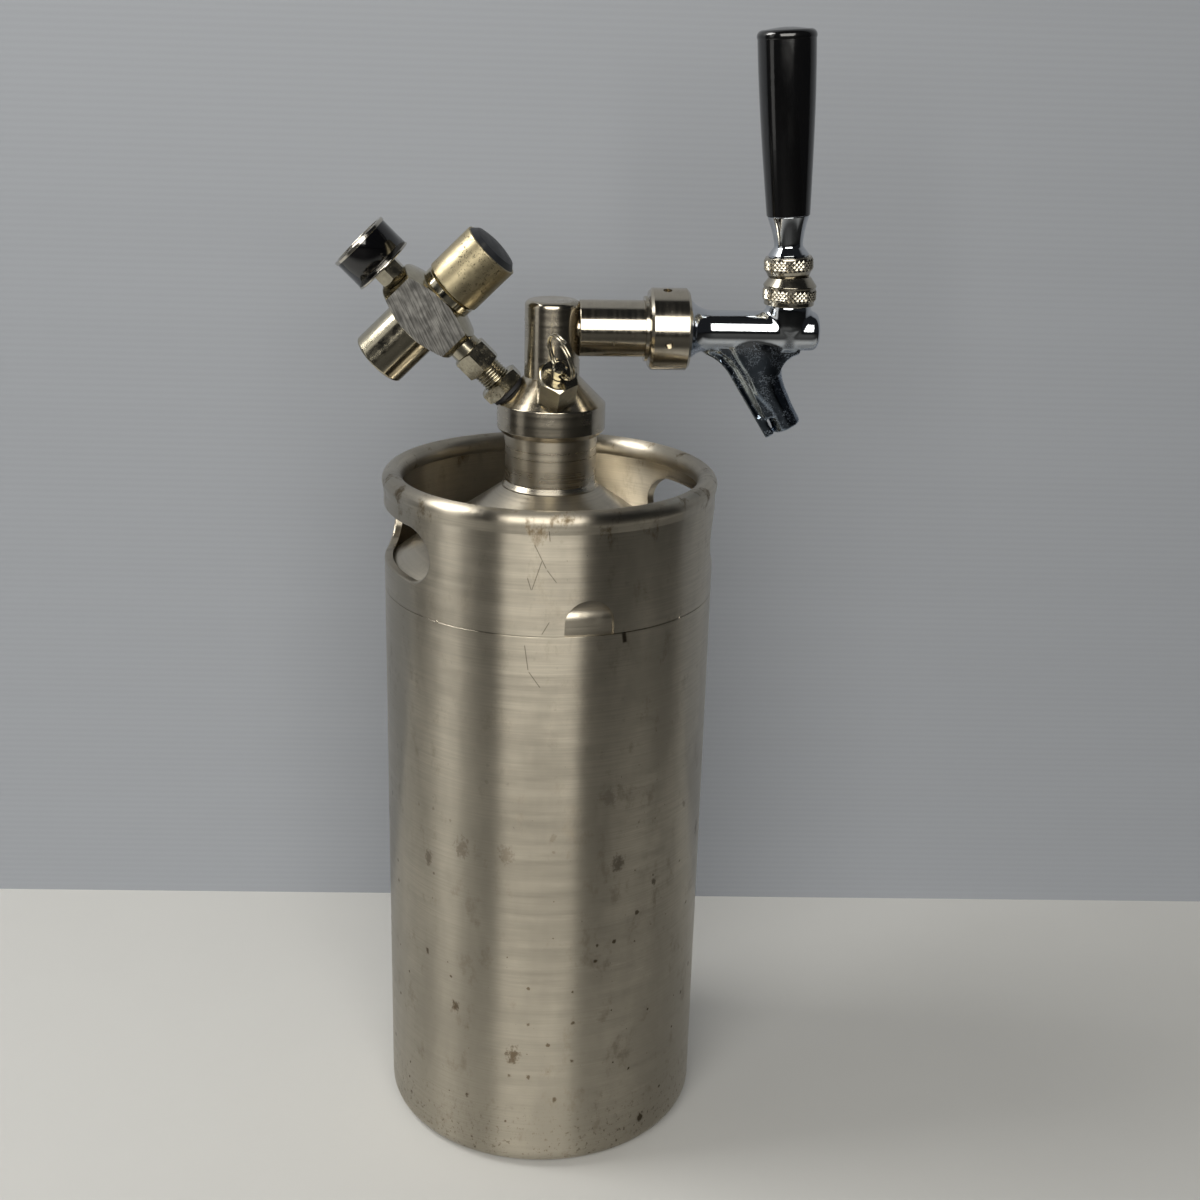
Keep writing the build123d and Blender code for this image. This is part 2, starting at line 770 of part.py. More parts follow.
diaphragm_top = block_bore_floor + diaphragm_thickness
with BuildPart() as diaphragm:
    turn(
        knob_line,
        (0, block_bore_floor),
        (block_bore - part_gap, block_bore_floor),
        (block_bore - part_gap, diaphragm_top),
        (0, diaphragm_top),
    )
save(diaphragm, "diaphragm")

ring_top = block_shoulder + bonnet_ring_height
neck_end = ring_top + bonnet_neck_height
with BuildPart() as regulator_bonnet:
    turn(
        knob_line,
        (0, diaphragm_top),
        (block_bore - part_gap, diaphragm_top),
        (block_bore - part_gap, block_shoulder),
        (bonnet_radius, block_shoulder),
        (bonnet_radius, ring_top),
        (bonnet_neck_radius, ring_top),
        (bonnet_neck_radius, neck_end),
        (0, neck_end),
    )
    chamfer(rims(regulator_bonnet, bonnet_radius), length=knob_edge)
    bore(knob_line, bonnet_bore, diaphragm_top, neck_end - bonnet_roof)
    bore(knob_line, screw_radius + running_clearance, diaphragm_top, neck_end)
save(regulator_bonnet, "regulator_bonnet")

button_start = diaphragm_top + part_gap + (range_spring_coils + 1) * range_spring_pitch
button_end = button_start + button_thickness
with BuildPart() as spring_button:
    turn(
        knob_line,
        (0, button_start),
        (bonnet_bore - part_gap, button_start),
        (bonnet_bore - part_gap, button_end),
        (0, button_end),
    )
save(spring_button, "spring_button")

spring_reach = button_start - diaphragm_top - 2 * range_spring_wire - 2 * part_gap
with BuildPart() as range_spring:
    coil(
        knob_line,
        range_spring_radius,
        range_spring_wire,
        spring_reach / range_spring_coils,
        range_spring_coils,
        diaphragm_top + range_spring_wire + part_gap,
    )
save(range_spring, "range_spring")

# Poppet: the diaphragm pushes it off its seat under the block's web.
poppet_foot = -block_bore_floor - part_gap
with BuildPart() as poppet:
    turn(
        knob_line,
        (0, poppet_foot - poppet_head_thickness),
        (poppet_head_radius, poppet_foot - poppet_head_thickness),
        (poppet_head_radius, poppet_foot),
        (poppet_radius, poppet_foot),
        (poppet_radius, block_bore_floor - part_gap),
        (0, block_bore_floor - part_gap),
    )
save(poppet, "poppet")

knob_foot = ring_top + knob_gap
knob_top = knob_foot + knob_length
with BuildPart() as regulator_knob:
    turn(
        knob_line,
        (knob_radius - knob_wall, knob_foot),
        (knob_radius, knob_foot),
        (knob_radius, knob_top),
        (screw_radius + part_gap, knob_top),
        (screw_radius + part_gap, knob_top - knob_wall),
        (knob_radius - knob_wall, knob_top - knob_wall),
    )
    chamfer(rims(regulator_knob, knob_radius), length=knob_edge)
save(regulator_knob, "regulator_knob")

with BuildPart() as knob_cap:
    cap_top = knob_top + knob_cap_height
    cap_shoulder = knob_top + knob_cap_band
    with BuildSketch(lathe_plane(knob_line)):
        with BuildLine():
            Polyline(
                (0, knob_top),
                (knob_radius - knob_edge, knob_top),
                (knob_cap_radius, cap_shoulder),
            )
            TangentArc((0, cap_top), (knob_cap_radius, cap_shoulder), tangent=(1, 0))
            Line((0, cap_top), (0, knob_top))
        make_face()
    revolve(axis=Axis(knob_line.origin, knob_line.z_dir))
save(knob_cap, "knob_cap")

with BuildPart() as adjusting_screw:
    turn(
        knob_line,
        (0, button_end + part_gap),
        (screw_radius, button_end + part_gap),
        (screw_radius, knob_top),
        (0, knob_top),
    )
save(adjusting_screw, "adjusting_screw")

# Cartridge cup: open at its end, with the thread, seal and pin that take a gas cartridge.
thread_start = cup_end - cup_mouth_depth
chamber_end = thread_start - cartridge_bore_length
vent_plane = Plane(
    origin=cup_line.offset(vent_place).origin, x_dir=cup_line.z_dir, z_dir=cup_line.y_dir
)
with BuildPart() as cartridge_cup:
    turn(
        cup_line,
        (0, block_bore_floor + part_gap),
        (block_bore - part_gap, block_bore_floor + part_gap),
        (block_bore - part_gap, block_shoulder),
        (cup_radius, block_shoulder),
        (cup_radius, cup_end),
        (0, cup_end),
    )
    fillet(rims(cartridge_cup, cup_radius).sort_by(Axis.Z)[0], radius=cup_lip_edge)
    bore(cup_line, pierce_chamber_radius, block_bore_floor, chamber_end)
    bore(cup_line, cartridge_bore, chamber_end, thread_start)
    bore(cup_line, cup_mouth_radius, thread_start, cup_end)
    bore(vent_plane, vent_radius, 0, cup_radius)
save(cartridge_cup, "cartridge_cup")

seal_end = chamber_end - thread_relief
seal_start = seal_end - cup_seal_thickness
with BuildPart() as cup_seal:
    tube(cup_line, pierce_chamber_radius - part_gap, cup_seal_bore, seal_start, seal_end)
save(cup_seal, "cup_seal")

with BuildPart() as piercing_pin:
    turn(
        cup_line,
        (pin_bore, seal_start - pin_flange_thickness),
        (pierce_chamber_radius - part_gap, seal_start - pin_flange_thickness),
        (pierce_chamber_radius - part_gap, seal_start),
        (pin_radius, seal_start),
        (pin_radius, seal_start + pin_length - pin_point),
        (pin_bore, seal_start + pin_length),
    )
save(piercing_pin, "piercing_pin")

# ------------------------------------------------------------------ pressure gauge
with BuildPart() as gauge_stem:
    hexagon(gauge_line, gauge_stem_flats, gauge_flat, gauge_start)
    turn(
        gauge_line,
        (0, gauge_bore_end + part_gap),
        (gauge_stem_radius, gauge_bore_end + part_gap),
        (gauge_stem_radius, gauge_flat),
        (0, gauge_flat),
    )
    bore(gauge_line, gauge_passage, gauge_bore_end, gauge_start)
save(gauge_stem, "gauge_stem")

gauge_mouth = gauge_start + gauge_depth
dial_face = gauge_mouth - dial_depth
with BuildPart() as gauge_case:
    turn(
        gauge_line,
        (gauge_case_hole, gauge_start),
        (gauge_radius, gauge_start),
        (gauge_radius, gauge_start + gauge_rear_rim),
        (gauge_body_radius, gauge_start + gauge_rear_rim),
        (gauge_body_radius, gauge_mouth),
        (gauge_body_radius - gauge_wall, gauge_mouth),
        (gauge_body_radius - gauge_wall, gauge_start + gauge_wall),
        (gauge_case_hole, gauge_start + gauge_wall),
    )
save(gauge_case, "gauge_case")

lens_start = gauge_mouth + part_gap
lens_end = lens_start + lens_thickness
with BuildPart() as gauge_bezel:
    turn(
        gauge_line,
        (gauge_body_radius + weld_gap, gauge_mouth - bezel_height),
        (gauge_radius, gauge_mouth - bezel_height),
        (gauge_radius, lens_end + weld_gap),
        (gauge_radius - bezel_edge, lens_end + bezel_thickness),
        (gauge_body_radius - bezel_lip, lens_end + bezel_thickness),
        (gauge_body_radius - bezel_lip, lens_end + weld_gap),
        (gauge_body_radius + weld_gap, lens_end + weld_gap),
    )
save(gauge_bezel, "gauge_bezel")

with BuildPart() as gauge_lens:
    turn(
        gauge_line,
        (0, lens_start),
        (gauge_body_radius, lens_start),
        (gauge_body_radius, lens_end),
        (0, lens_end),
    )
save(gauge_lens, "gauge_lens")

with BuildPart() as gauge_dial:
    tube(
        gauge_line,
        gauge_body_radius - gauge_wall - weld_gap,
        arbor_radius + part_gap,
        dial_face - dial_thickness,
        dial_face,
    )
save(gauge_dial, "gauge_dial")

# Needle: it turns on an arbor that passes through the dial.
needle_floor = dial_face + needle_gap
with BuildPart() as gauge_needle:
    with BuildSketch(spun(gauge_line.offset(needle_floor), needle_rest)):
        Circle(needle_hub_radius)
        with BuildLine():
            Polyline(
                (-needle_tail, -needle_width / 2),
                (needle_length, -needle_thickness / 2),
                (needle_length, needle_thickness / 2),
                (-needle_tail, needle_width / 2),
                close=True,
            )
        make_face()
    extrude(amount=needle_thickness)
    turn(
        gauge_line,
        (0, dial_face - arbor_length),
        (arbor_radius, dial_face - arbor_length),
        (arbor_radius, needle_floor),
        (0, needle_floor),
    )
save(gauge_needle, "gauge_needle")

# ------------------------------------------------------------------ relief valve
plug_foot = relief_height - relief_plug_thickness
disc_foot = relief_seat_height + relief_seal_thickness
disc_top = disc_foot + relief_disc_thickness
with BuildPart() as relief_body:
    hexagon(relief_line, relief_flats, relief_hex_start, relief_height, relief_spin)
    turn(
        relief_line,
        (0, part_gap - port_depth),
        (port_bore - part_gap, part_gap - port_depth),
        (port_bore - part_gap, -spot_face_depth),
        (relief_foot_radius, -spot_face_depth),
        (relief_foot_radius, relief_hex_start),
        (0, relief_hex_start),
    )
    bore(relief_line, relief_seat_radius, -port_depth, relief_seat_height)
    bore(relief_line, relief_chamber_radius, relief_seat_height, relief_height)
save(relief_body, "relief_body")

with BuildPart() as relief_plug:
    tube(
        relief_line,
        relief_chamber_radius - part_gap,
        relief_stem_radius + relief_stem_clearance,
        plug_foot,
        relief_height,
    )
save(relief_plug, "relief_plug")

with BuildPart() as relief_seal:
    turn(
        relief_line,
        (0, relief_seat_height),
        (relief_disc_radius, relief_seat_height),
        (relief_disc_radius, disc_foot),
        (0, disc_foot),
    )
save(relief_seal, "relief_seal")

# Stem: a disc that the spring holds on the seat and an eye that the pull ring hangs in.
eye_foot = relief_height + eye_gap
eye_centre = eye_foot + eye_height / 2
eye_line = spun(relief_line.offset(eye_centre), ring_turn)
hole_line = Plane(origin=eye_line.origin, x_dir=eye_line.z_dir, z_dir=eye_line.x_dir)
with BuildPart() as relief_stem:
    turn(
        relief_line,
        (0, disc_foot),
        (relief_disc_radius, disc_foot),
        (relief_disc_radius, disc_top),
        (relief_stem_radius, disc_top),
        (relief_stem_radius, eye_foot),
        (eye_radius, eye_foot),
        (eye_radius, eye_foot + eye_height),
        (0, eye_foot + eye_height),
    )
    chamfer(relief_stem.edges().sort_by(Axis(relief_line.origin, relief_line.z_dir))[-1], length=eye_edge)
    bore(hole_line, eye_bore, -eye_radius, eye_radius)
save(relief_stem, "relief_stem")

spring_foot = disc_top + relief_lift + relief_spring_wire + part_gap
spring_height = plug_foot - spring_foot - relief_spring_wire - part_gap
with BuildPart() as relief_spring:
    coil(
        relief_line,
        relief_spring_radius,
        relief_spring_wire,
        spring_height / relief_spring_coils,
        relief_spring_coils,
        spring_foot,
    )
save(relief_spring, "relief_spring")

# Pull ring: two turns of wire wound flat, hanging in the eye.
ring_centre = eye_line.origin + eye_line.z_dir * (ring_radius - ring_lean)
ring_line = Plane(
    origin=ring_centre - eye_line.y_dir * ring_pitch * ring_turns / 2,
    x_dir=eye_line.z_dir,
    z_dir=eye_line.y_dir,
)
with BuildPart() as pull_ring:
    coil(ring_line, ring_radius, ring_wire, ring_pitch, ring_turns, 0)
save(pull_ring, "pull_ring")

# ------------------------------------------------------------------ shank and coupling nut
flange_start = coupling_start + coupling_lip + part_gap
with BuildPart() as shank:
    turn(
        tap_line,
        (shank_bore, shank_socket_floor + part_gap),
        (shank_spigot_radius, shank_socket_floor + part_gap),
        (shank_spigot_radius, shank_start),
        (shank_radius, shank_start),
        (shank_radius, snap_ring_place),
        (shank_radius - snap_groove_depth, snap_ring_place),
        (shank_radius - snap_groove_depth, snap_ring_place + snap_ring_width),
        (shank_radius, snap_ring_place + snap_ring_width),
        (shank_radius, flange_start),
        (shank_flange_radius, flange_start),
        (shank_flange_radius, shank_end),
        (shank_bore, shank_end),
    )
    fillet(rims(shank, shank_radius).sort_by(Axis.X)[0], radius=shank_edge)
save(shank, "shank")

with BuildPart() as snap_ring:
    tube(
        tap_line,
        snap_ring_radius,
        shank_radius - snap_groove_depth + weld_gap,
        snap_ring_place + weld_gap,
        snap_ring_place + snap_ring_width - weld_gap,
    )
save(snap_ring, "snap_ring")

# Coupling nut: a round nut with pin holes for its spanner; its lip pulls on the shank's flange.
coupling_end = coupling_start + coupling_length
with BuildPart() as coupling_nut:
    turn(
        tap_line,
        (shank_radius + coupling_lip_gap, coupling_start),
        (coupling_radius, coupling_start),
        (coupling_radius, coupling_end),
        (coupling_thread, coupling_end),
        (coupling_thread, coupling_start + coupling_lip),
        (shank_radius + coupling_lip_gap, coupling_start + coupling_lip),
    )
    chamfer(rims(coupling_nut, coupling_radius), length=coupling_edge)
    for hole in range(spanner_holes):
        hole_turn = radians(spanner_turn + 360 / spanner_holes * hole)
        across = Vector(0, cos(hole_turn), sin(hole_turn))
        hole_plane = Plane(
            origin=tap_line.offset(spanner_hole_place).origin, x_dir=(1, 0, 0), z_dir=across
        )
        bore(hole_plane, spanner_hole_radius, coupling_radius - spanner_hole_depth, coupling_radius)
save(coupling_nut, "coupling_nut")

gasket_end = shank_end + gasket_thickness
with BuildPart() as shank_gasket:
    tube(tap_line, shank_flange_radius, shank_bore, shank_end, gasket_end)
save(shank_gasket, "shank_gasket")

# ------------------------------------------------------------------ faucet
# Cast body: threaded flare, barrel, lever boss, and a swelling spout backed by a rib on a thin web.
boss_bend = tap_height + boss_bend_rise
boss_foot = tap_height - boss_foot_drop
rib_slant = (rib_bend[0] - rib_tip[0], rib_bend[1] - rib_tip[1])
web_tip = (rib_tip[0] + rib_slant[0] * slit_share, rib_tip[1] + rib_slant[1] * slit_share)
groove_tip = (rib_tip[0] + rib_slant[0] * groove_share, rib_tip[1] + rib_slant[1] * groove_share)
with BuildPart() as faucet_body:
    with BuildSketch(lathe_plane(tap_line)):
        with BuildLine():
            Polyline(
                (0, gasket_end),
                (faucet_thread, gasket_end),
                (faucet_thread, flare_start),
                (flare_radius, flare_start),
            )
            ThreePointArc(
                (flare_radius, flare_start),
                (
                    barrel_radius + (flare_radius - barrel_radius) * flare_hollow,
                    flare_start + (flare_end - flare_start) * flare_hollow_place,
                ),
                (barrel_radius, flare_end),
            )
            Line((barrel_radius, flare_end), (barrel_radius, nose_end - nose_dome))
            TangentArc((0, nose_end), (barrel_radius, nose_end - nose_dome), tangent=(1, 0))
            Line((0, nose_end), (0, gasket_end))
        make_face()
    revolve(axis=Axis(tap_line.origin, tap_line.z_dir))
    fillet(rims(faucet_body, barrel_radius).sort_by(Axis.X)[-1], radius=nose_edge)
    turn(
        boss_line,
        (0, boss_foot),
        (boss_foot_radius, boss_foot),
        (boss_radius, boss_bend),
        (boss_radius, boss_shoulder),
        (boss_neck_radius, boss_shoulder),
        (boss_neck_radius, boss_neck_top),
        (0, boss_neck_top),
    )
    boss_seam = faucet_body.edges().filter_by(
        lambda edge: abs(hypot((edge @ 0.5).X - lever_x, (edge @ 0.5).Y) - boss_radius) < part_gap
        and boss_bend < (edge @ 0.5).Z < boss_shoulder - part_gap
    )
    fillet(boss_seam, radius=boss_blend)
    for height, shift, half_depth, half_width in spout_sections:
        with BuildSketch(spout_line.offset(height)):
            with Locations((0, shift)):
                Ellipse(half_width, half_depth)
    loft()
    with BuildSketch(Plane.XZ):
        with BuildLine():
            Line(rib_tip, rib_bend)
            TangentArc(rib_bend, rib_root, tangent=rib_slant)
            offset(amount=rib_thickness, side=Side.RIGHT)
        make_face()
    extrude(amount=rib_width / 2, both=True)
    with BuildSketch(Plane.XZ):
        with BuildLine():
            Line(web_tip, rib_bend)
            TangentArc(rib_bend, rib_root, tangent=rib_slant)
            offset(amount=rib_thickness + web_reach, side=Side.RIGHT)
        make_face()
    extrude(amount=web_width / 2, both=True)
    with BuildLine(Plane.XZ) as rib_back:
        Line(groove_tip, rib_bend)
        TangentArc(rib_bend, rib_root, tangent=rib_slant)
        offset(amount=rib_thickness / 2, side=Side.LEFT, closed=False, mode=Mode.REPLACE)
    groove_path = rib_back.wire()
    with BuildSketch(Plane(origin=groove_path @ 0, x_dir=(0, 1, 0), z_dir=groove_path % 0)) as groove:
        with Locations((-rib_width / 2, 0), (rib_width / 2, 0)):
            Circle(groove_radius)
    sweep(groove.sketch, path=groove_path, mode=Mode.SUBTRACT)
    bore(tap_line, inlet_bore, gasket_end, seat_place)
    bore(tap_line, shaft_bore, seat_place, shaft_bore_end)
    bore(spout_line, spout_bore, 0, spout_bore_length)
    bore(spout_line, spout_passage, 0, spout_drop / sin(radians(spout_slope)))
    with BuildSketch(Plane.XY.offset(tap_height)):
        with Locations((lever_x + (pocket_front - pocket_back) / 2, 0)):
            SlotOverall(pocket_front + pocket_back, pocket_width)
    extrude(amount=lever_z - ball_radius / 2 - tap_height, mode=Mode.SUBTRACT)
    pocket_top = boss_neck_top - lever_z
    with BuildSketch(lathe_plane(upright_pivot)) as ball_pocket:
        with BuildLine():
            TangentArc((0, -pocket_radius), (pocket_radius, 0), tangent=(1, 0))
            Polyline((pocket_radius, 0), (pocket_radius, pocket_top), (0, pocket_top), (0, -pocket_radius))
        make_face()
    revolve(ball_pocket.sketch, axis=Axis(upright_pivot.origin, upright_pivot.z_dir), mode=Mode.SUBTRACT)
save(faucet_body, "faucet_body")

# Bonnet: a knurled cap that holds the lever's ball down through a washer.
washer_foot = boss_neck_top + part_gap
washer_top = washer_foot + washer_thickness
with BuildPart() as faucet_bonnet:
    turn(
        boss_line,
        (boss_neck_radius + part_gap, boss_shoulder),
        (bonnet_nut_radius - bonnet_nut_edge, boss_shoulder),
        (bonnet_nut_radius, boss_shoulder + bonnet_nut_edge),
        (bonnet_nut_radius, bonnet_nut_shoulder),
        (bonnet_nut_top_radius, bonnet_nut_top),
        (bonnet_nut_hole, bonnet_nut_top),
        (bonnet_nut_throat, washer_top + part_gap),
        (boss_neck_radius + part_gap, washer_top + part_gap),
    )
save(faucet_bonnet, "faucet_bonnet")

washer_ring = washer_foot - lever_z
with BuildPart() as ball_washer:
    turn(
        boss_line,
        (sqrt(pocket_radius**2 - washer_ring**2), washer_foot),
        (boss_neck_radius, washer_foot),
        (boss_neck_radius, washer_top),
        (bonnet_nut_throat, washer_top),
    )
save(ball_washer, "ball_washer")

# ------------------------------------------------------------------ valve shaft
# The lever's lower tip drives the shaft; pushed back, it lifts the seat washer off its seat.
washer_face = seat_place - seat_washer_gap
washer_back = washer_face - seat_washer_thickness
slot_half = lever_tip_radius + shaft_slot_gap
guide_radius = shaft_bore - running_clearance
slot_top = shaft_slot_straight + guide_radius
with BuildPart() as valve_shaft:
    turn(
        tap_line,
        (0, shaft_tail),
        (shaft_stem_radius, shaft_tail),
        (shaft_stem_radius, shaft_guide_start),
        (guide_radius, shaft_guide_start),
        (guide_radius, shaft_guide_end),
        (0, shaft_guide_end),
    )
    with BuildSketch(Plane.XZ):
        with BuildLine():
            Polyline(
                (lever_tip_x - slot_half, tap_height - shaft_slot_depth),
                (lever_tip_x + slot_half, tap_height - shaft_slot_depth),
                (lever_tip_x + slot_half, tap_height + shaft_slot_straight),
                (lever_tip_x + slot_half + guide_radius, tap_height + slot_top),
                (lever_tip_x - slot_half - guide_radius, tap_height + slot_top),
                (lever_tip_x - slot_half, tap_height + shaft_slot_straight),
                close=True,
            )
        make_face()
    extrude(amount=slot_half, both=True, mode=Mode.SUBTRACT)
save(valve_shaft, "valve_shaft")

with BuildPart() as seat_washer:
    tube(tap_line, seat_washer_radius, shaft_stem_radius + weld_gap, washer_back, washer_face)
save(seat_washer, "seat_washer")

with BuildPart() as shaft_nut:
    hexagon(tap_line, tail_nut_flats, washer_back - tail_nut_thickness, washer_back)
    bore(tap_line, shaft_stem_radius + weld_gap, washer_back - tail_nut_thickness, washer_back)
save(shaft_nut, "shaft_nut")

# ------------------------------------------------------------------ lever and handle
tip_foot = -lever_arm - lever_tip_radius
tip_top = -lever_arm + lever_tip_radius
with BuildPart() as lever:
    with BuildSketch(lathe_plane(lever_line)):
        with BuildLine():
            ThreePointArc((0, -ball_radius), (ball_radius, 0), (0, ball_radius))
            Line((0, ball_radius), (0, -ball_radius))
        make_face()
        with BuildLine():
            ThreePointArc((0, tip_foot), (lever_tip_radius, -lever_arm), (0, tip_top))
            Line((0, tip_top), (0, tip_foot))
        make_face()
        with Locations((lever_arm_radius / 2, -lever_arm / 2)):
            Rectangle(lever_arm_radius, lever_arm)
        with Locations((lever_stem_radius / 2, swing_radius / 2)):
            Rectangle(lever_stem_radius, swing_radius)
        with Locations((lever_thread_radius / 2, (swing_radius + lever_stem_top) / 2)):
            Rectangle(lever_thread_radius, lever_stem_top - swing_radius)
    revolve(axis=Axis(lever_line.origin, lever_line.z_dir))
save(lever, "lever")

lock_ring_top = lock_ring_start + lock_ring_height
with BuildPart() as lock_ring:
    turn(
        lever_line,
        (lever_thread_radius + weld_gap, lock_ring_start),
        (lock_ring_foot_radius, lock_ring_start),
        (lock_ring_radius, lock_ring_start + lock_ring_radius - lock_ring_foot_radius),
        (lock_ring_radius, lock_ring_top - lock_ring_edge),
        (lock_ring_radius - lock_ring_edge, lock_ring_top),
        (lever_thread_radius + weld_gap, lock_ring_top),
    )
    with BuildSketch(lathe_plane(lever_line)) as recess:
        with BuildLine():
            ThreePointArc((0, -swing_radius), (swing_radius, 0), (0, swing_radius))
            Line((0, swing_radius), (0, -swing_radius))
        make_face()
    revolve(recess.sketch, axis=Axis(lever_line.origin, lever_line.z_dir), mode=Mode.SUBTRACT)
save(lock_ring, "lock_ring")

# Ferrule: waisted, threaded on the lever and pressed on the grip's insert.
with BuildPart() as ferrule:
    with BuildSketch(lathe_plane(lever_line)):
        with BuildLine():
            Polyline(
                (ferrule_neck_radius, ferrule_neck_place),
                (ferrule_neck_radius, ferrule_neck_place - ferrule_waist),
                (ferrule_foot_radius, lock_ring_top + ferrule_foot_band),
                (ferrule_foot_radius, lock_ring_top),
                (lever_thread_radius + weld_gap, lock_ring_top),
                (lever_thread_radius + weld_gap, ferrule_top),
                (ferrule_top_radius, ferrule_top),
            )
            ThreePointArc(
                (ferrule_top_radius, ferrule_top),
                (
                    ferrule_neck_radius + (ferrule_top_radius - ferrule_neck_radius) * ferrule_flare,
                    (ferrule_top + ferrule_neck_place) / 2,
                ),
                (ferrule_neck_radius, ferrule_neck_place),
            )
        make_face()
    revolve(axis=Axis(lever_line.origin, lever_line.z_dir))
save(ferrule, "ferrule")

grip_start = ferrule_top + grip_gap
with BuildPart() as grip_insert:
    tube(lever_line, insert_radius, lever_thread_radius + weld_gap, grip_start, grip_start + insert_length)
save(grip_insert, "grip_insert")

# Grip: a long slow swell with a rounded top.
crown_radius = grip_top_radius - grip_edge
grip_rounding = (
    crown_radius + grip_edge * sqrt(0.5),
    grip_top_place + (grip_top - grip_top_place) * sqrt(0.5),
)
with BuildPart() as tap_handle:
    with BuildSketch(lathe_plane(lever_line)):
        with BuildLine():
            side = Spline(
                (grip_foot_radius, grip_start),
                (grip_belly_radius, grip_belly_place),
                (grip_shoulder_radius, grip_shoulder_place),
                (grip_top_radius, grip_top_place),
            )
            ThreePointArc(side @ 1, grip_rounding, (crown_radius, grip_top - grip_crown))
            TangentArc((0, grip_top), (crown_radius, grip_top - grip_crown), tangent=(1, 0))
            Polyline((0, grip_top), (0, grip_start), (grip_foot_radius, grip_start))
        make_face()
    revolve(axis=Axis(lever_line.origin, lever_line.z_dir))
    bore(lever_line, insert_radius + weld_gap, grip_start, grip_start + insert_length + part_gap)
save(tap_handle, "tap_handle")
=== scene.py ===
"""The dressed mini keg beer dispenser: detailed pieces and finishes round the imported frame."""

import json
import math
from contextlib import contextmanager

import bmesh
import bpy
from bpy.props import (
    FloatProperty,
    FloatVectorProperty,
    IntProperty,
    PointerProperty,
)
from mathutils import Matrix, Vector

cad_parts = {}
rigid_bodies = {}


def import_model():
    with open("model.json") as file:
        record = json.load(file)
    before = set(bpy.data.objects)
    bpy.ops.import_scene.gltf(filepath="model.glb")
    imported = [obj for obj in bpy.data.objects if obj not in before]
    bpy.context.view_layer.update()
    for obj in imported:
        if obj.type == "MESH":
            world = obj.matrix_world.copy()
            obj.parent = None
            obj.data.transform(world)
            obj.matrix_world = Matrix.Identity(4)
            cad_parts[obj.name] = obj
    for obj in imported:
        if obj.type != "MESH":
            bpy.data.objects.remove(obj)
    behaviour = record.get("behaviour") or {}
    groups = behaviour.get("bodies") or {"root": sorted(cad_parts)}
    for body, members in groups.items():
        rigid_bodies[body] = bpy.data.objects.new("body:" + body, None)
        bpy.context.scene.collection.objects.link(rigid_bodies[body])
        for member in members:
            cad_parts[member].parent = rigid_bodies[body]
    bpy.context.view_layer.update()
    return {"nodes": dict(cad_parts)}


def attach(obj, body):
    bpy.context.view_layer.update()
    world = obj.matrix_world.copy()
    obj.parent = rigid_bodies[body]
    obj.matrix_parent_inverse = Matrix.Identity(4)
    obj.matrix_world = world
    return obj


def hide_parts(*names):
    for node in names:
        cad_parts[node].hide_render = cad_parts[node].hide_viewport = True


bl_info = {
    "name": "Mini keg beer dispenser",
    "version": (1, 0, 0),
    "blender": (4, 5, 0),
    "location": "View3D > Sidebar > Dispenser",
    "description": "Builds the detailed pieces and finishes of a mini keg beer dispenser",
    "category": "Object",
}

MM = 0.001
FIGURES = ("0", "10", "20", "30", "40", "50", "60")  # the gauge's plain numbers
DIAL_START, DIAL_SWEEP = 225, 270  # degrees: the scale's first mark, and how far it runs clockwise
BRASS = "#C7A25B"
LATHE_RADIUS = 0.1  # metres; the circle that turned outlines are swept round
for leftover in list(bpy.data.objects):
    bpy.data.objects.remove(leftover)
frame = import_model()


def colour(code):
    """An sRGB hex colour as linear red, green, blue and alpha."""
    channels = [int(code[i : i + 2], 16) / 255 for i in (1, 3, 5)]
    return [c / 12.92 if c <= 0.04045 else ((c + 0.055) / 1.055) ** 2.4 for c in channels] + [1.0]


# ---------------------------------------------------------------- lines that the pieces are built round
def line(origin, along, across):
    """The matrix of a line through a point in millimetres: its Z runs along, its X across."""
    z = Vector(along).normalized()
    x = (Vector(across) - z * z.dot(Vector(across))).normalized()
    place = Matrix((x, z.cross(x), z)).transposed().to_4x4()
    place.translation = Vector(origin) * MM
    return place


def further(place, height):
    """The same line, its origin moved along it by a height in millimetres."""
    return place @ Matrix.Translation((0, 0, height * MM))


# heights above the floor and places of the head's parts, in millimetres and degrees
DOME_FOOT, DOME_REACH, DOME_SLOPE = 277.5, 53.4, math.radians(35)
NECK_RISE, HEAD_RISE, CONE_RISE, TAP_RISE = 23.3, 13.9, 24.2, 47.1
GAS_FOOT, RELIEF_FOOT = 19.4, 18.25  # distances from the keg's axis where the two fittings meet the cone
BLOCK_REACH = 49.3  # from the gas line's foot to the middle of the regulator's block
BOSS_REACH, BALL_RISE = 104.4, 13.2  # the faucet's boss from the keg's axis, its ball above the tap's axis
NECK_TOP = DOME_FOOT + DOME_REACH * math.tan(DOME_SLOPE) + NECK_RISE
CONE_TOP = NECK_TOP + HEAD_RISE + CONE_RISE
TAP_AXIS = NECK_TOP + TAP_RISE
HALF = math.sqrt(0.5)
ROLL, LEAN, RELIEF_TURN = math.radians(6), math.radians(4), math.radians(-87)
UPRIGHT = Matrix.Identity(4)
GAS = line((-GAS_FOOT, 0, CONE_TOP - GAS_FOOT), (-1, 0, 1), (0, -1, 0))
GAUGE = further(GAS, BLOCK_REACH)
MIDDLE = GAUGE.translation / MM
KNOB_ALONG = Vector((HALF * math.cos(ROLL), -math.sin(ROLL), HALF * math.cos(ROLL)))
KNOB = line(MIDDLE, KNOB_ALONG, (-1, 0, 1))
CUP = line(MIDDLE, -KNOB_ALONG, (-1, 0, 1))
OUTWARD = Vector((math.cos(RELIEF_TURN), math.sin(RELIEF_TURN), 0))
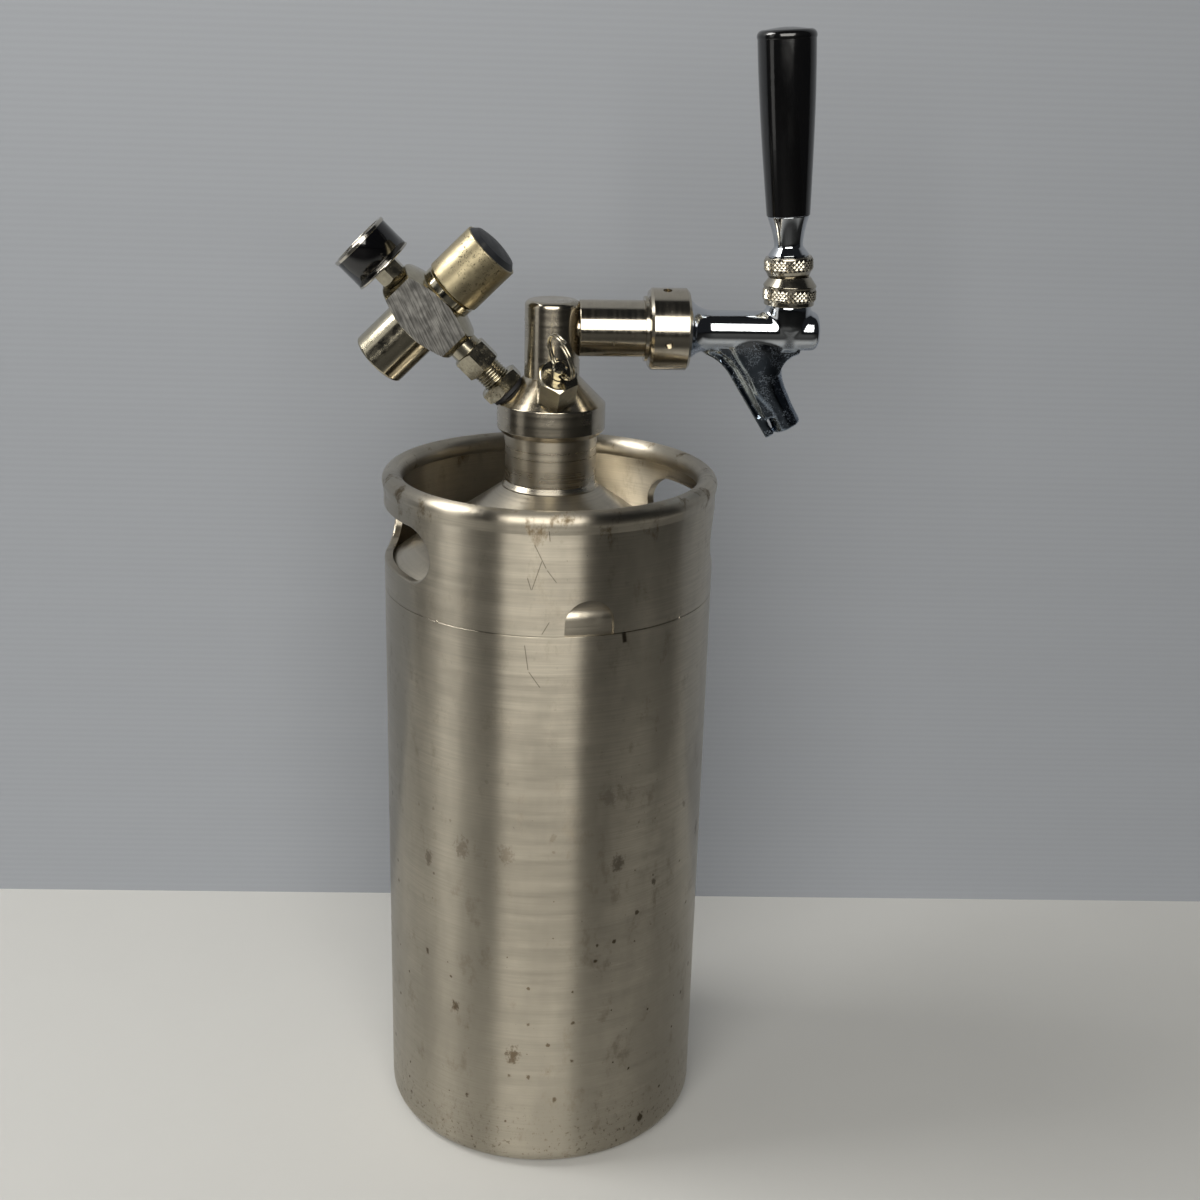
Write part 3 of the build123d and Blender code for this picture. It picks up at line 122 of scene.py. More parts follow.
RELIEF = line(
    OUTWARD * RELIEF_FOOT + Vector((0, 0, CONE_TOP - RELIEF_FOOT)),
    OUTWARD + Vector((0, 0, 1)),
    (-OUTWARD.y, OUTWARD.x, 0),
)
TAP = line((0, 0, TAP_AXIS), (1, 0, 0), (0, 1, 0))
BOSS = line((BOSS_REACH, 0, TAP_AXIS), (0, 0, 1), (1, 0, 0))
LEVER = line(
    (BOSS_REACH, 0, TAP_AXIS + BALL_RISE),
    (-math.sin(LEAN), 0, math.cos(LEAN)),
    (math.cos(LEAN), 0, math.sin(LEAN)),
)
# metal that fills the casting's inner corners: its half width, and corners seen from the side of the tap
CASTING_FILLS = (
    (
        4.9,
        (
            (96.6, -39.6), (82.6, -17.2), (78.5, -12.2), (73.5, -9.4), (68.0, -8.2), (68.0, -2.0), (95.0, -2.0),
            (98.0, -26.0), (102.3, -37.0),
        ),
    ),
    (
        5.4,
        (
            (90.0, -5.0), (110.0, -5.0), (110.0, -9.6), (106.8, -10.8), (104.2, -12.8), (102.4, -15.6),
            (101.2, -19.5), (95.0, -19.5),
        ),
    ),
)
SPOUT_SLOPE = math.radians(61.2)
SPOUT = line((107.5, 0, TAP_AXIS - 43.3), (-math.cos(SPOUT_SLOPE), 0, math.sin(SPOUT_SLOPE)), (0, 1, 0))
# the casting's bores, which the fills keep clear of: line, radius, start and end
CASTING_BORES = ((TAP, 7.3, 55, 73.3), (TAP, 5.3, 72.5, 115.9), (SPOUT, 4.3, -1, 30.3), (SPOUT, 3.7, 30, 49.4))
CASTING_POLISH = 30  # rounds of smoothing on the whole casting
RIB_ROOT, RIB_ROOT_REACH, RIB_ROOT_POLISH = (66, -11), 10, 120  # more of it where the rib meets the barrel
# scratches on the front of the keg, each from one (distance round, height) to another, in millimetres
RIM_SCRATCHES = (
    ((-9.4, 308.5), (-4.1, 297.5)), ((-4.1, 297.5), (0.4, 291.4)), ((-5.9, 301.7), (-10.3, 287.9)),
    ((-10.3, 287.9), (-12.2, 294.0)), ((-2.4, 274.7), (-5.9, 268.4)), ((-3.3, 314.7), (-2.8, 309.3)),
    ((-13.0, 264.0), (-11.3, 252.0)), ((-11.3, 252.0), (-5.9, 244.3)),
)


# ---------------------------------------------------------------- sizes and colours that a user would change
def shade(name, description, code):
    """A colour that the user may change."""
    return FloatVectorProperty(
        name=name, description=description, subtype="COLOR", size=4, min=0, max=1, default=colour(code)
    )


def length(name, description, default, low, high):
    """A length in metres that the user may change."""
    return FloatProperty(name=name, description=description, default=default, min=low, max=high, unit="LENGTH")


class KegSettings(bpy.types.PropertyGroup):
    steel: shade("Sheet steel", "Colour of the brushed sheet", "#C2BAAA")
    # real brush lines stand some 0.1 mm apart, too fine to show on a whole keg
    brushing: FloatProperty(
        name="Brush spacing", description="Distance between brush lines, in mm", default=0.8, min=0.1, max=3
    )
    steps: IntProperty(name="Steps", description="Facets round the keg", default=256, min=48, max=512)
    tack_size: length("Tack weld", "Width of a tack weld on the seam", 0.0030, 0.001, 0.008)


class FaucetSettings(bpy.types.PropertyGroup):
    chrome: shade("Chrome", "Colour of the faucet's plating", "#CDD1D6")
    voxel: length("Casting grain", "Cell of the mesh that rounds the casting's corners", 0.00038, 0.0003, 0.002)
    # a real knurl of this kind has some 48 diamonds round it; fewer and larger ones show at this size
    knurl_columns: IntProperty(
        name="Knurl columns", description="Diamonds round a ring", default=36, min=16, max=90
    )
    knurl_depth: length("Knurl depth", "Height of a knurl's diamond", 0.0005, 0.0001, 0.001)
    handle: shade("Handle", "Colour of the handle", "#0B0B0C")


class RegulatorSettings(bpy.types.PropertyGroup):
    nickel: shade("Nickel", "Colour of the nickel plating", "#BDB6A2")
    thread_pitch: length("Thread pitch", "Pitch of the gas stud's thread", 0.00134, 0.0005, 0.003)
    thread_depth: length("Thread depth", "Half height of the thread's ridge", 0.0005, 0.0001, 0.001)
    ticks: IntProperty(name="Dial ticks", description="Marks round the gauge's dial", default=31, min=7, max=61)


class StageSettings(bpy.types.PropertyGroup):
    floor: shade("Floor", "Colour of the floor", "#C8C8C6")
    wall: shade("Wall", "Colour of the wall", "#989CA3")
    lamp: FloatProperty(
        name="Lamp", description="Power of the main lamp", default=48, min=1, max=500, unit="POWER"
    )


class DispenserSettings(bpy.types.PropertyGroup):
    keg: PointerProperty(type=KegSettings)
    faucet: PointerProperty(type=FaucetSettings)
    regulator: PointerProperty(type=RegulatorSettings)
    stage: PointerProperty(type=StageSettings)


# ---------------------------------------------------------------- nodes
def add_node(tree, kind, inputs=None, **settings):
    """Adds a node to a tree with its settings, and values or links for its inputs."""
    made = tree.nodes.new(kind)
    for name, value in settings.items():
        setattr(made, name, value)
    for name, value in (inputs or {}).items():
        if isinstance(value, bpy.types.NodeSocket):
            tree.links.new(value, made.inputs[name])
        else:
            made.inputs[name].default_value = value
    return made


def out_of(tree, kind, inputs=None, **settings):
    """The first output of a node added to a tree."""
    return add_node(tree, kind, inputs, **settings).outputs[0]


def maths(tree, operation, a, b=0.0):
    """The result of an operation on two numbers or sockets."""
    return out_of(tree, "ShaderNodeMath", {0: a, 1: b}, operation=operation)


def times(tree, a, b):
    """The product of two numbers or sockets."""
    return maths(tree, "MULTIPLY", a, b)


def plus(tree, a, b):
    """The sum of two numbers or sockets."""
    return maths(tree, "ADD", a, b)


def vector(tree, *coordinates):
    """A point or a set of angles from up to three numbers or sockets."""
    return out_of(tree, "ShaderNodeCombineXYZ", dict(enumerate(coordinates)))


def scaled(tree, point, by):
    """A point whose three coordinates are multiplied by three numbers."""
    return out_of(tree, "ShaderNodeVectorMath", {0: point, 1: by}, operation="MULTIPLY")


def noise(tree, point, by, detail=2.0, roughness=0.5):
    """Noise from 0 to 1 whose grain along each coordinate is set in grains a millimetre."""
    moved = scaled(tree, point, by)
    inputs = {"Vector": moved, "Scale": 1.0, "Detail": detail, "Roughness": roughness}
    return add_node(tree, "ShaderNodeTexNoise", inputs).outputs["Fac"]


def between(tree, value, low, high, start=0.0, end=1.0):
    """A value spread smoothly from start, at low, to end, at high."""
    inputs = {"Value": value, "From Min": low, "From Max": high, "To Min": start, "To Max": end}
    return add_node(tree, "ShaderNodeMapRange", inputs, interpolation_type="SMOOTHSTEP").outputs["Result"]


def mixed(tree, share, first, second):
    """Two colours mixed by a share."""
    made = add_node(tree, "ShaderNodeMix", {0: share, 6: first, 7: second}, data_type="RGBA")
    return made.outputs[2]


def apart(tree, point):
    """The three coordinates of a point."""
    return add_node(tree, "ShaderNodeSeparateXYZ", {0: point}).outputs


def bump(tree, height, depth):
    """A normal bent by a height, its depth in millimetres."""
    inputs = {"Height": height, "Distance": depth * MM, "Strength": 1.0}
    return out_of(tree, "ShaderNodeBump", inputs)


def new_finish(name, place, **sockets):
    """A new material: its tree, its shader with some sockets set, and a point in millimetres round a line."""
    material = bpy.data.materials.new(name)
    material.use_nodes = True
    tree = material.node_tree
    shader = tree.nodes["Principled BSDF"]
    for key, value in sockets.items():
        shader.inputs[key.replace("_", " ")].default_value = value
    turned = place.inverted()
    mapping = {
        "Vector": add_node(tree, "ShaderNodeTexCoord").outputs["Object"],
        "Location": turned.translation / MM,
        "Rotation": turned.to_euler(),
        "Scale": (1 / MM,) * 3,
    }
    return material, tree, shader, out_of(tree, "ShaderNodeMapping", mapping)


def join(tree, shader, **sockets):
    """Links sockets to a shader's inputs."""
    for key, value in sockets.items():
        tree.links.new(value, shader.inputs[key.replace("_", " ")])


def ringed(tree, point):
    """A point as (distance from the line, 0, height), so that a pattern runs in rings."""
    x, y, z = apart(tree, point)
    flat = vector(tree, x, y, 0.0)
    away = add_node(tree, "ShaderNodeVectorMath", {0: flat}, operation="LENGTH").outputs["Value"]
    return vector(tree, away, 0.0, z)


def around(tree, point, place):
    """The direction round a line, along which a brushed or turned surface's marks run."""
    x, y = apart(tree, point)[:2]
    level = {"Vector": vector(tree, times(tree, y, -1.0), x), "Rotation": place.to_euler()}
    placed = out_of(tree, "ShaderNodeMapping", level, vector_type="VECTOR")
    spaces = {"convert_from": "OBJECT", "convert_to": "WORLD"}
    return out_of(tree, "ShaderNodeVectorTransform", {0: placed}, vector_type="VECTOR", **spaces)


def scratches(tree, point, turn, low, high):
    """Thin straight scratches in one direction, 1 on a scratch and 0 off it."""
    leaning = out_of(tree, "ShaderNodeMapping", {"Vector": point, "Rotation": turn})
    return between(tree, noise(tree, leaning, (0.9, 0.9, 0.012), 1.0), low, high)


def rolled_out(tree, point, radius):
    """A drum's surface rolled out flat: distance round it from its front, and height."""
    x, y, z = apart(tree, point)
    turn = maths(tree, "ARCTAN2", x, times(tree, y, -1.0))
    return vector(tree, times(tree, turn, radius), z)


def stroke(tree, flat, start, end, width):
    """One straight mark between two points of a surface rolled out flat: 1 on it and 0 off it."""
    start, end = Vector((*start, 0)), Vector((*end, 0))
    along = (end - start).normalized()
    away = out_of(tree, "ShaderNodeVectorMath", {0: flat, 1: (start + end) / 2}, operation="SUBTRACT")
    offsets = []
    for direction in (along, Vector((-along.y, along.x, 0))):
        inputs = {0: away, 1: direction}
        share = add_node(tree, "ShaderNodeVectorMath", inputs, operation="DOT_PRODUCT").outputs["Value"]
        offsets.append(maths(tree, "ABSOLUTE", share))
    reach, aside = offsets
    half = (end - start).length / 2
    return times(tree, between(tree, reach, half, half - 1), between(tree, aside, width, 0.3 * width))


def specks(tree, flat, cell, share, size, ragged):
    """Ragged specks on a surface rolled out flat, one in some of the cells of a net: cell and size in
    millimetres."""
    inputs = {"Vector": flat, "Scale": 1 / cell, "Randomness": 1.0}
    net = add_node(tree, "ShaderNodeTexVoronoi", inputs, voronoi_dimensions="2D").outputs
    draw, chance = apart(tree, net["Color"])[:2]
    reach = between(tree, chance, 0, 1, 0.35 * size / cell, 1.15 * size / cell)
    edge = maths(tree, "DIVIDE", net["Distance"], reach)
    edge = plus(tree, edge, times(tree, ragged, 1.6))
    chosen = between(tree, draw, share + 0.02, share)
    return times(tree, between(tree, edge, 1.4, 1.0), chosen)


# ---------------------------------------------------------------- finishes
def tinted(code, by):
    """A linear colour made lighter or darker."""
    return [min(1.0, c * by) for c in code[:3]] + [1.0]


def brushed_sheet(name, steel, spacing):
    """Cold-rolled stainless sheet, brushed round the keg after drawing: fine level lines that smear
    reflections into tall bands, water spots, brown tea stains, rub marks and hairline scratches."""
    material, tree, shader, point = new_finish(
        name, UPRIGHT, Metallic=1.0, Roughness=0.32, Anisotropic=0.98, Anisotropic_Rotation=0.25
    )
    per = 1 / spacing
    lines = noise(tree, point, (0.03, 0.03, per), 3.0, 0.7)
    strokes = noise(tree, point, (0.02, 0.02, per / 5), 3.0, 0.6)
    cloud = noise(tree, point, (0.022, 0.022, 0.010), 4.0, 0.65)
    grime = noise(tree, point, (0.10, 0.10, 0.06), 5.0, 0.7)
    height = apart(tree, point)[2]
    low_down = between(tree, height, 230, 90)
    near_rim = between(tree, height, 303, 315)
    flat = rolled_out(tree, point, 75.0)
    fleck = noise(tree, point, (0.5, 0.5, 0.4), 4.0, 0.7)
    blots = specks(tree, scaled(tree, flat, (1.0, 0.7, 1.0)), 23.0, 0.36, 5.8, fleck)
    pits = specks(tree, flat, 10.0, 0.22, 1.8, fleck)
    spot = times(tree, maths(tree, "MAXIMUM", blots, pits), plus(tree, low_down, 0.15))
    foot = times(tree, between(tree, fleck, 0.56, 0.68), between(tree, height, 45, 8))
    spot = maths(tree, "MAXIMUM", spot, foot)
    stain = times(tree, between(tree, grime, 0.54, 0.70), plus(tree, near_rim, 0.42))
    rub = between(tree, noise(tree, point, (0.03, 0.03, 0.35), 3.0, 0.6), 0.58, 0.76)
    cut = scratches(tree, point, (0.5, 0.3, 0.0), 0.79, 0.83)
    for start, end in RIM_SCRATCHES:
        cut = maths(tree, "MAXIMUM", cut, stroke(tree, flat, start, end, 0.32))
    drip = stroke(tree, flat, (30.2, 268), (31.0, 262.5), 1.5)
    drip = times(tree, drip, between(tree, grime, 0.36, 0.52))
    light = mixed(tree, between(tree, lines, 0.3, 0.7), tinted(steel, 0.88), tinted(steel, 1.06))
    layers = (
        (between(tree, cloud, 0.36, 0.62), 0.7, tinted(steel, 0.68)),
        # the sheet darker towards the bottom
        (between(tree, height, 290, 0), 0.45, tinted(steel, 0.55)),
        (stain, 0.6, colour("#6E5D42")),
        (spot, 0.72, colour("#50402A")),
        (cut, 0.65, colour("#4F483C")),
        (drip, 0.9, colour("#2F2316")),
    )
    for mask, strength, tint in layers:
        light = mixed(tree, times(tree, mask, strength), light, tint)
    rough = plus(tree, between(tree, strokes, 0.3, 0.7, 0.29, 0.34), times(tree, rub, 0.05))
    rough = plus(tree, rough, times(tree, maths(tree, "MAXIMUM", stain, spot), 0.12))
    relief = maths(tree, "SUBTRACT", lines, times(tree, cut, 1.5))
    join(
        tree, shader, Base_Color=light, Roughness=rough, Normal=bump(tree, relief, 0.004),
        Tangent=around(tree, point, UPRIGHT),
    )
    return material


def turned_steel(name, place, steel, smooth, groove=0.35):
    """Stainless bar turned on a lathe: rings of tool marks that smear reflections along the bar, duller
    where handled. The groove between marks is in millimetres, drawn coarser than a lathe's real 0.1."""
    material, tree, shader, point = new_finish(
        name, place, Metallic=1.0, Roughness=smooth, Anisotropic=0.6, Anisotropic_Rotation=0.25
    )
    rings = ringed(tree, point)
    marks = noise(tree, rings, (1 / groove, 1, 1 / groove), 3.0, 0.7)
    bands = noise(tree, rings, (0.5, 1, 0.5), 2.0, 0.5)
    smear = noise(tree, point, (0.12, 0.12, 0.12), 4.0, 0.6)
    hair = scratches(tree, point, (1.2, 0.4, 0.2), 0.80, 0.84)
    light = mixed(tree, between(tree, marks, 0.3, 0.7), tinted(steel, 0.93), tinted(steel, 1.05))
    light = mixed(tree, times(tree, between(tree, smear, 0.5, 0.72), 0.45), light, tinted(steel, 0.72))
    rough = between(tree, bands, 0.3, 0.7, smooth - 0.03, smooth + 0.05)
    rough = plus(tree, rough, between(tree, smear, 0.5, 0.8, 0.0, 0.10))
    rough = plus(tree, rough, times(tree, hair, 0.1))
    join(
        tree, shader, Base_Color=light, Roughness=rough, Normal=bump(tree, marks, 0.003),
        Tangent=around(tree, point, place),
    )
    return material


def plated(name, place, tint, smooth, wear=0.5, speckle=0.0):
    """Nickel plate on brass: a warm shine, fine handling marks, and pits where the plate has worn through."""
    material, tree, shader, point = new_finish(name, place, Metallic=1.0, Roughness=smooth)
    smear = noise(tree, point, (0.22, 0.22, 0.22), 4.0, 0.6)
    pits = noise(tree, point, (0.9, 0.9, 0.9), 4.0, 0.75)
    patch = noise(tree, point, (0.11, 0.11, 0.14), 3.0, 0.6)
    fine = noise(tree, point, (3.0, 3.0, 3.0), 2.0, 0.6)
    worn = times(tree, between(tree, pits, 0.53, 0.60), between(tree, patch, 0.46, 0.58))
    worn = times(tree, worn, speckle)
    light = mixed(tree, between(tree, smear, 0.35, 0.7, 0.0, wear), tint, tinted(tint, 0.68))
    light = mixed(tree, worn, light, colour("#3A3428"))
    rough = between(tree, smear, 0.3, 0.75, smooth - 0.04, smooth + 0.10)
    rough = plus(tree, rough, times(tree, worn, 0.35))
    relief = maths(tree, "SUBTRACT", times(tree, fine, 0.25), worn)
    join(tree, shader, Base_Color=light, Roughness=rough, Normal=bump(tree, relief, 0.010))
    return material, tree, shader, point, light, rough


def nickel(name, place, tint, smooth, wear=0.5, speckle=0.0):
    """Plain nickel-plated brass."""
    return plated(name, place, tint, smooth, wear, speckle)[0]


def milled_block(name, place, tint):
    """A nickel-plated forging whose two broad faces were milled and linished after plating: greyer than
    the rest, with close lines across the face."""
    material, tree, shader, point, light, rough = plated(name, place, tint, 0.16, 0.6)
    face = between(tree, maths(tree, "ABSOLUTE", apart(tree, point)[1]), 12.25, 12.38)
    leaning = out_of(tree, "ShaderNodeMapping", {"Vector": point, "Rotation": (0, math.radians(20), 0)})
    lines = noise(tree, leaning, (0.10, 0.10, 1.8), 2.0, 0.6)
    grey = mixed(tree, between(tree, lines, 0.32, 0.68), colour("#7F7E7B"), colour("#BDBBB6"))
    relief = times(tree, lines, face)
    light, rough = mixed(tree, face, light, grey), plus(tree, rough, times(tree, face, 0.20))
    join(tree, shader, Base_Color=light, Roughness=rough, Normal=bump(tree, relief, 0.02))
    return material


def bloomed_chrome_with_painted_shade(name, tint):
    """Bright chrome plate on a brass casting: mirror-like, with blue-grey blooms and water marks on the
    barrel's underside, the web and the spout, where beer has dried. Below the tap's axis the plate is
    painted darker and bluer: painted shade that stands in for the dark room reflected there."""
    material, tree, shader, point = new_finish(name, BOSS, Metallic=1.0, Roughness=0.06)
    bloom = noise(tree, point, (0.16, 0.16, 0.16), 5.0, 0.7)
    fine = noise(tree, point, (1.5, 1.5, 1.5), 4.0, 0.8)
    height = apart(tree, point)[2]
    low = between(tree, height, 2, -8)
    mark = times(tree, between(tree, bloom, 0.40, 0.58), low)
    dull = times(tree, between(tree, fine, 0.46, 0.60), plus(tree, mark, 0.04))
    # painted shade: the plate's colour goes darker and bluer below the tap's axis, standing in for the dark
    # room reflected there
    light = mixed(tree, between(tree, height, -2, -12), tint, colour("#727D8A"))
    light = mixed(tree, dull, light, colour("#AEB9C7"))
    rough = between(tree, dull, 0.0, 1.0, 0.05, 0.34)
    join(tree, shader, Base_Color=light, Roughness=rough, Normal=bump(tree, fine, 0.012))
    return material


def polished_black(name, place, tint, smooth=0.09):
    """Moulded phenolic, polished: deep black with a clear shine and the faintest handling haze."""
    material, tree, shader, point = new_finish(name, place, Roughness=smooth, IOR=1.55, Coat_Weight=0.4)
    haze = noise(tree, point, (0.08, 0.08, 0.03), 4.0, 0.6)
    dust = noise(tree, point, (2.2, 2.2, 2.2), 2.0, 0.7)
    light = mixed(tree, between(tree, dust, 0.62, 0.72, 0.0, 0.10), tint, colour("#5B5955"))
    rough = between(tree, haze, 0.35, 0.7, smooth, smooth + 0.10)
    join(tree, shader, Base_Color=light, Roughness=rough, Normal=bump(tree, haze, 0.02))
    return material


def moulded(name, place, tint, smooth, grain=1.4, depth=0.02):
    """Moulded rubber or plastic: an even dull skin with a fine grain and some dust."""
    material, tree, shader, point = new_finish(name, place, Roughness=smooth)
    skin = noise(tree, point, (grain,) * 3, 3.0, 0.6)
    dust = noise(tree, point, (0.3, 0.3, 0.3), 4.0, 0.6)
    light = mixed(tree, between(tree, dust, 0.5, 0.75, 0.0, 0.12), tint, colour("#77736B"))
    rough = between(tree, dust, 0.3, 0.7, smooth - 0.05, smooth + 0.1)
    join(tree, shader, Base_Color=light, Roughness=rough, Normal=bump(tree, skin, depth))
    return material


def clear_lens(name):
    """Clear polycarbonate, moulded: transparent, with hairlines from wiping."""
    material, tree, shader, point = new_finish(name, GAUGE, Roughness=0.03, IOR=1.585, Transmission_Weight=1.0)
    wiped = noise(tree, point, (0.2, 2.5, 1.0), 2.0, 0.6)
    join(tree, shader, Roughness=between(tree, wiped, 0.55, 0.75, 0.02, 0.12))
    return material


# ---------------------------------------------------------------- outlines and sweeps
def arc(start, middle, end, steps):
    """Points of the arc through three (radius, height) points, without its start."""
    (ax, ay), (bx, by), (cx, cy) = start, middle, end
    d = 2 * (ax * (by - cy) + bx * (cy - ay) + cx * (ay - by))
    a, b, c = ax * ax + ay * ay, bx * bx + by * by, cx * cx + cy * cy
    ux = (a * (by - cy) + b * (cy - ay) + c * (ay - by)) / d
    uy = (a * (cx - bx) + b * (ax - cx) + c * (bx - ax)) / d
    first, mid, last = (math.atan2(y - uy, x - ux) for x, y in (start, middle, end))
    sweep = (last - first) % math.tau
    if (mid - first) % math.tau > sweep:
        sweep -= math.tau
    size = math.hypot(ax - ux, ay - uy)
    turns = [first + sweep * k / steps for k in range(1, steps + 1)]
    return [(ux + size * math.cos(t), uy + size * math.sin(t), 0) for t in turns]


def rounded(outline, steps=5):
    """An outline of (radius, height, fillet) corners as plain points, holding points beside each fillet."""
    corners = [(Vector(c[:2]), c[2] if len(c) > 2 else 0) for c in outline]
    points = []
    for i, (corner, fillet) in enumerate(corners):
        if not fillet:
            points.append(corner)
            continue
        before = corners[i - 1][0] - corner
        after = corners[(i + 1) % len(corners)][0] - corner
        half = before.angle(after) / 2
        reach = min(fillet / math.tan(half), 0.45 * before.length, 0.45 * after.length)
        radius = reach * math.tan(half)
        one, two = before.normalized(), after.normalized()
        centre = corner + (one + two).normalized() * (radius / math.sin(half))
        first, last = corner + one * reach, corner + two * reach
        hold = min(0.35 * radius, 0.04 * min(before.length, after.length))
        points.append(first + one * hold)
        spokes = (first - centre).normalized(), (last - centre).normalized()
        points += [centre + spokes[0].slerp(spokes[1], k / steps) * radius for k in range(steps + 1)]
        points.append(last + two * hold)
    return points


def new_tree(name, numbers="", counts=""):
    """A Geometry Nodes tree with a geometry in, a geometry out, inputs named for numbers and counts, and a
    material's."""
    tree = bpy.data.node_groups.new(name, "GeometryNodeTree")
    tree.interface.new_socket("Geometry", in_out="OUTPUT", socket_type="NodeSocketGeometry")
    tree.interface.new_socket("Geometry", in_out="INPUT", socket_type="NodeSocketGeometry")
    for names, kind in ((numbers, "Float"), (counts, "Int"), ("Material", "Material")):
        for socket in names.split():
            tree.interface.new_socket(socket, in_out="INPUT", socket_type=f"NodeSocket{kind}")
    return tree, add_node(tree, "NodeGroupInput").outputs


def end_tree(tree, given, geometry, merge=False):
    """Ends a tree: doubles merged, instances realised, smooth faces, material set."""
    real = out_of(tree, "GeometryNodeRealizeInstances", {0: geometry})
    if merge:
        real = out_of(tree, "GeometryNodeMergeByDistance", {"Geometry": real, "Distance": 1e-6})
    smooth = out_of(tree, "GeometryNodeSetShadeSmooth", {"Geometry": real, "Shade Smooth": merge})
    done = out_of(tree, "GeometryNodeSetMaterial", {"Geometry": smooth, "Material": given["Material"]})
    add_node(tree, "NodeGroupOutput", {0: done})
    return tree


def circled(tree, sides, radius):
    """A circular or angular curve."""
    return out_of(tree, "GeometryNodeCurvePrimitiveCircle", {"Resolution": sides, "Radius": radius})


def turned_tree():
    """Sweeps an outline round a circle into a turned piece."""
    tree, given = new_tree("Turned piece", counts="Steps")
    outline = out_of(tree, "GeometryNodeMeshToCurve", {0: given["Geometry"]})
    circle = circled(tree, given["Steps"], LATHE_RADIUS)
    swept = out_of(tree, "GeometryNodeCurveToMesh", {"Curve": circle, "Profile Curve": outline})
    return end_tree(tree, given, swept, True)


def coil_tree():
    """Sweeps a round or angular section along a helix: a thread's ridge or a spring's wire."""
    tree, given = new_tree("Wound piece", "Radius Pitch Turns Wire", "Sides")
    height = times(tree, given["Pitch"], given["Turns"])
    spiral = {
        "Resolution": 48, "Rotations": given["Turns"], "Start Radius": given["Radius"],
        "End Radius": given["Radius"], "Height": height,
    }
    helix = out_of(tree, "GeometryNodeCurveSpiral", spiral)
    section = circled(tree, given["Sides"], given["Wire"])
    sweep = {"Curve": helix, "Profile Curve": section, "Fill Caps": True}
    return end_tree(tree, given, out_of(tree, "GeometryNodeCurveToMesh", sweep), True)


def set_round(tree, points, radius, turn, height):
    """Points set round the Z axis."""
    x, y = (times(tree, maths(tree, operation, turn), radius) for operation in ("COSINE", "SINE"))
    return out_of(tree, "GeometryNodeSetPosition", {"Geometry": points, "Position": vector(tree, x, y, height)})


def facing(tree, *angles):
    """A rotation from its three angles."""
    return out_of(tree, "FunctionNodeEulerToRotation", {0: vector(tree, *angles)})


def set_on_points(tree, given, points, instance, merge=False, **inputs):
    """Ends a tree that sets one shape on points."""
    inputs = {"Points": points, "Instance": instance, **inputs}
    return end_tree(tree, given, out_of(tree, "GeometryNodeInstanceOnPoints", inputs), merge)


def knurl_tree():
    """Sets four-sided points in staggered rows on a cylinder: a diamond knurl."""
    tree, given = new_tree("Diamond knurl", "Radius Foot Depth", "Columns Rows")
    count = times(tree, given["Columns"], given["Rows"])
    points = out_of(tree, "GeometryNodeMeshLine", {"Count": count}, mode="OFFSET")
    index = out_of(tree, "GeometryNodeInputIndex")
    column = maths(tree, "MODULO", index, given["Columns"])
    row = maths(tree, "FLOOR", maths(tree, "DIVIDE", plus(tree, index, 0.01), given["Columns"]))
    shifted = plus(tree, column, times(tree, maths(tree, "MODULO", row, 2.0), 0.5))
    turn = maths(tree, "DIVIDE", times(tree, shifted, math.tau), given["Columns"])
    wide = maths(tree, "DIVIDE", times(tree, given["Radius"], math.tau), given["Columns"])
    half = times(tree, wide, 0.5)
    up = plus(tree, given["Foot"], times(tree, plus(tree, row, 1.0), half))
    placed = set_round(tree, points, given["Radius"], turn, up)
    cone = {
        "Vertices": 4, "Side Segments": 1, "Radius Top": 0.0, "Radius Bottom": half, "Depth": given["Depth"],
    }
    point = out_of(tree, "GeometryNodeMeshCone", cone)
    return set_on_points(tree, given, placed, point, Rotation=facing(tree, 0.0, math.pi / 2, turn))


def weld_tree():
    """Sets flattened, overlapping drops round a circle: the ripples of a weld bead."""
    tree, given = new_tree("Weld bead", "Radius Height Size", "Drops Seed")
    ring = {"Vertices": given["Drops"], "Radius": given["Radius"]}
    up = vector(tree, 0.0, 0.0, given["Height"])
    raised = {"Geometry": out_of(tree, "GeometryNodeMeshCircle", ring), "Offset": up}
    placed = out_of(tree, "GeometryNodeSetPosition", raised)
    drop = out_of(tree, "GeometryNodeMeshIcoSphere", {"Radius": given["Size"], "Subdivisions": 2})
    chance = {2: 0.82, 3: 1.12, "Seed": given["Seed"]}
    size = add_node(tree, "FunctionNodeRandomValue", chance, data_type="FLOAT").outputs[1]
    return set_on_points(tree, given, placed, drop, True, Scale=size)


def tick_tree():
    """Sets bars round part of a circle, every fifth one longer: the marks of a dial."""
    tree, given = new_tree("Dial marks", "Radius Bar", "Marks")
    points = out_of(tree, "GeometryNodeMeshLine", {"Count": given["Marks"]}, mode="OFFSET")
    index = out_of(tree, "GeometryNodeInputIndex")
    share = maths(tree, "DIVIDE", index, maths(tree, "SUBTRACT", given["Marks"], 1.0))
    swept = times(tree, share, math.radians(DIAL_SWEEP))
    turn = maths(tree, "SUBTRACT", math.radians(DIAL_START), swept)
    long_one = maths(tree, "LESS_THAN", maths(tree, "MODULO", plus(tree, index, 0.01), 5.0), 0.5)
    long = times(tree, given["Bar"], plus(tree, 1.0, long_one))
    middle = maths(tree, "SUBTRACT", given["Radius"], times(tree, long, 0.5))
    placed = set_round(tree, points, middle, turn, 0.0)
    bar = out_of(tree, "GeometryNodeMeshCube", {"Size": (1.0, 0.22 * MM, 0.06 * MM)})
    turned, stretch = facing(tree, 0.0, 0.0, turn), vector(tree, long, 1.0, 1.0)
    return set_on_points(tree, given, placed, bar, Rotation=turned, Scale=stretch)


@contextmanager
def edited(mesh):
    """A mesh open for editing, written back at the end."""
    opened = bmesh.new()
    opened.from_mesh(mesh)
    yield opened
    opened.to_mesh(mesh)
    opened.free()


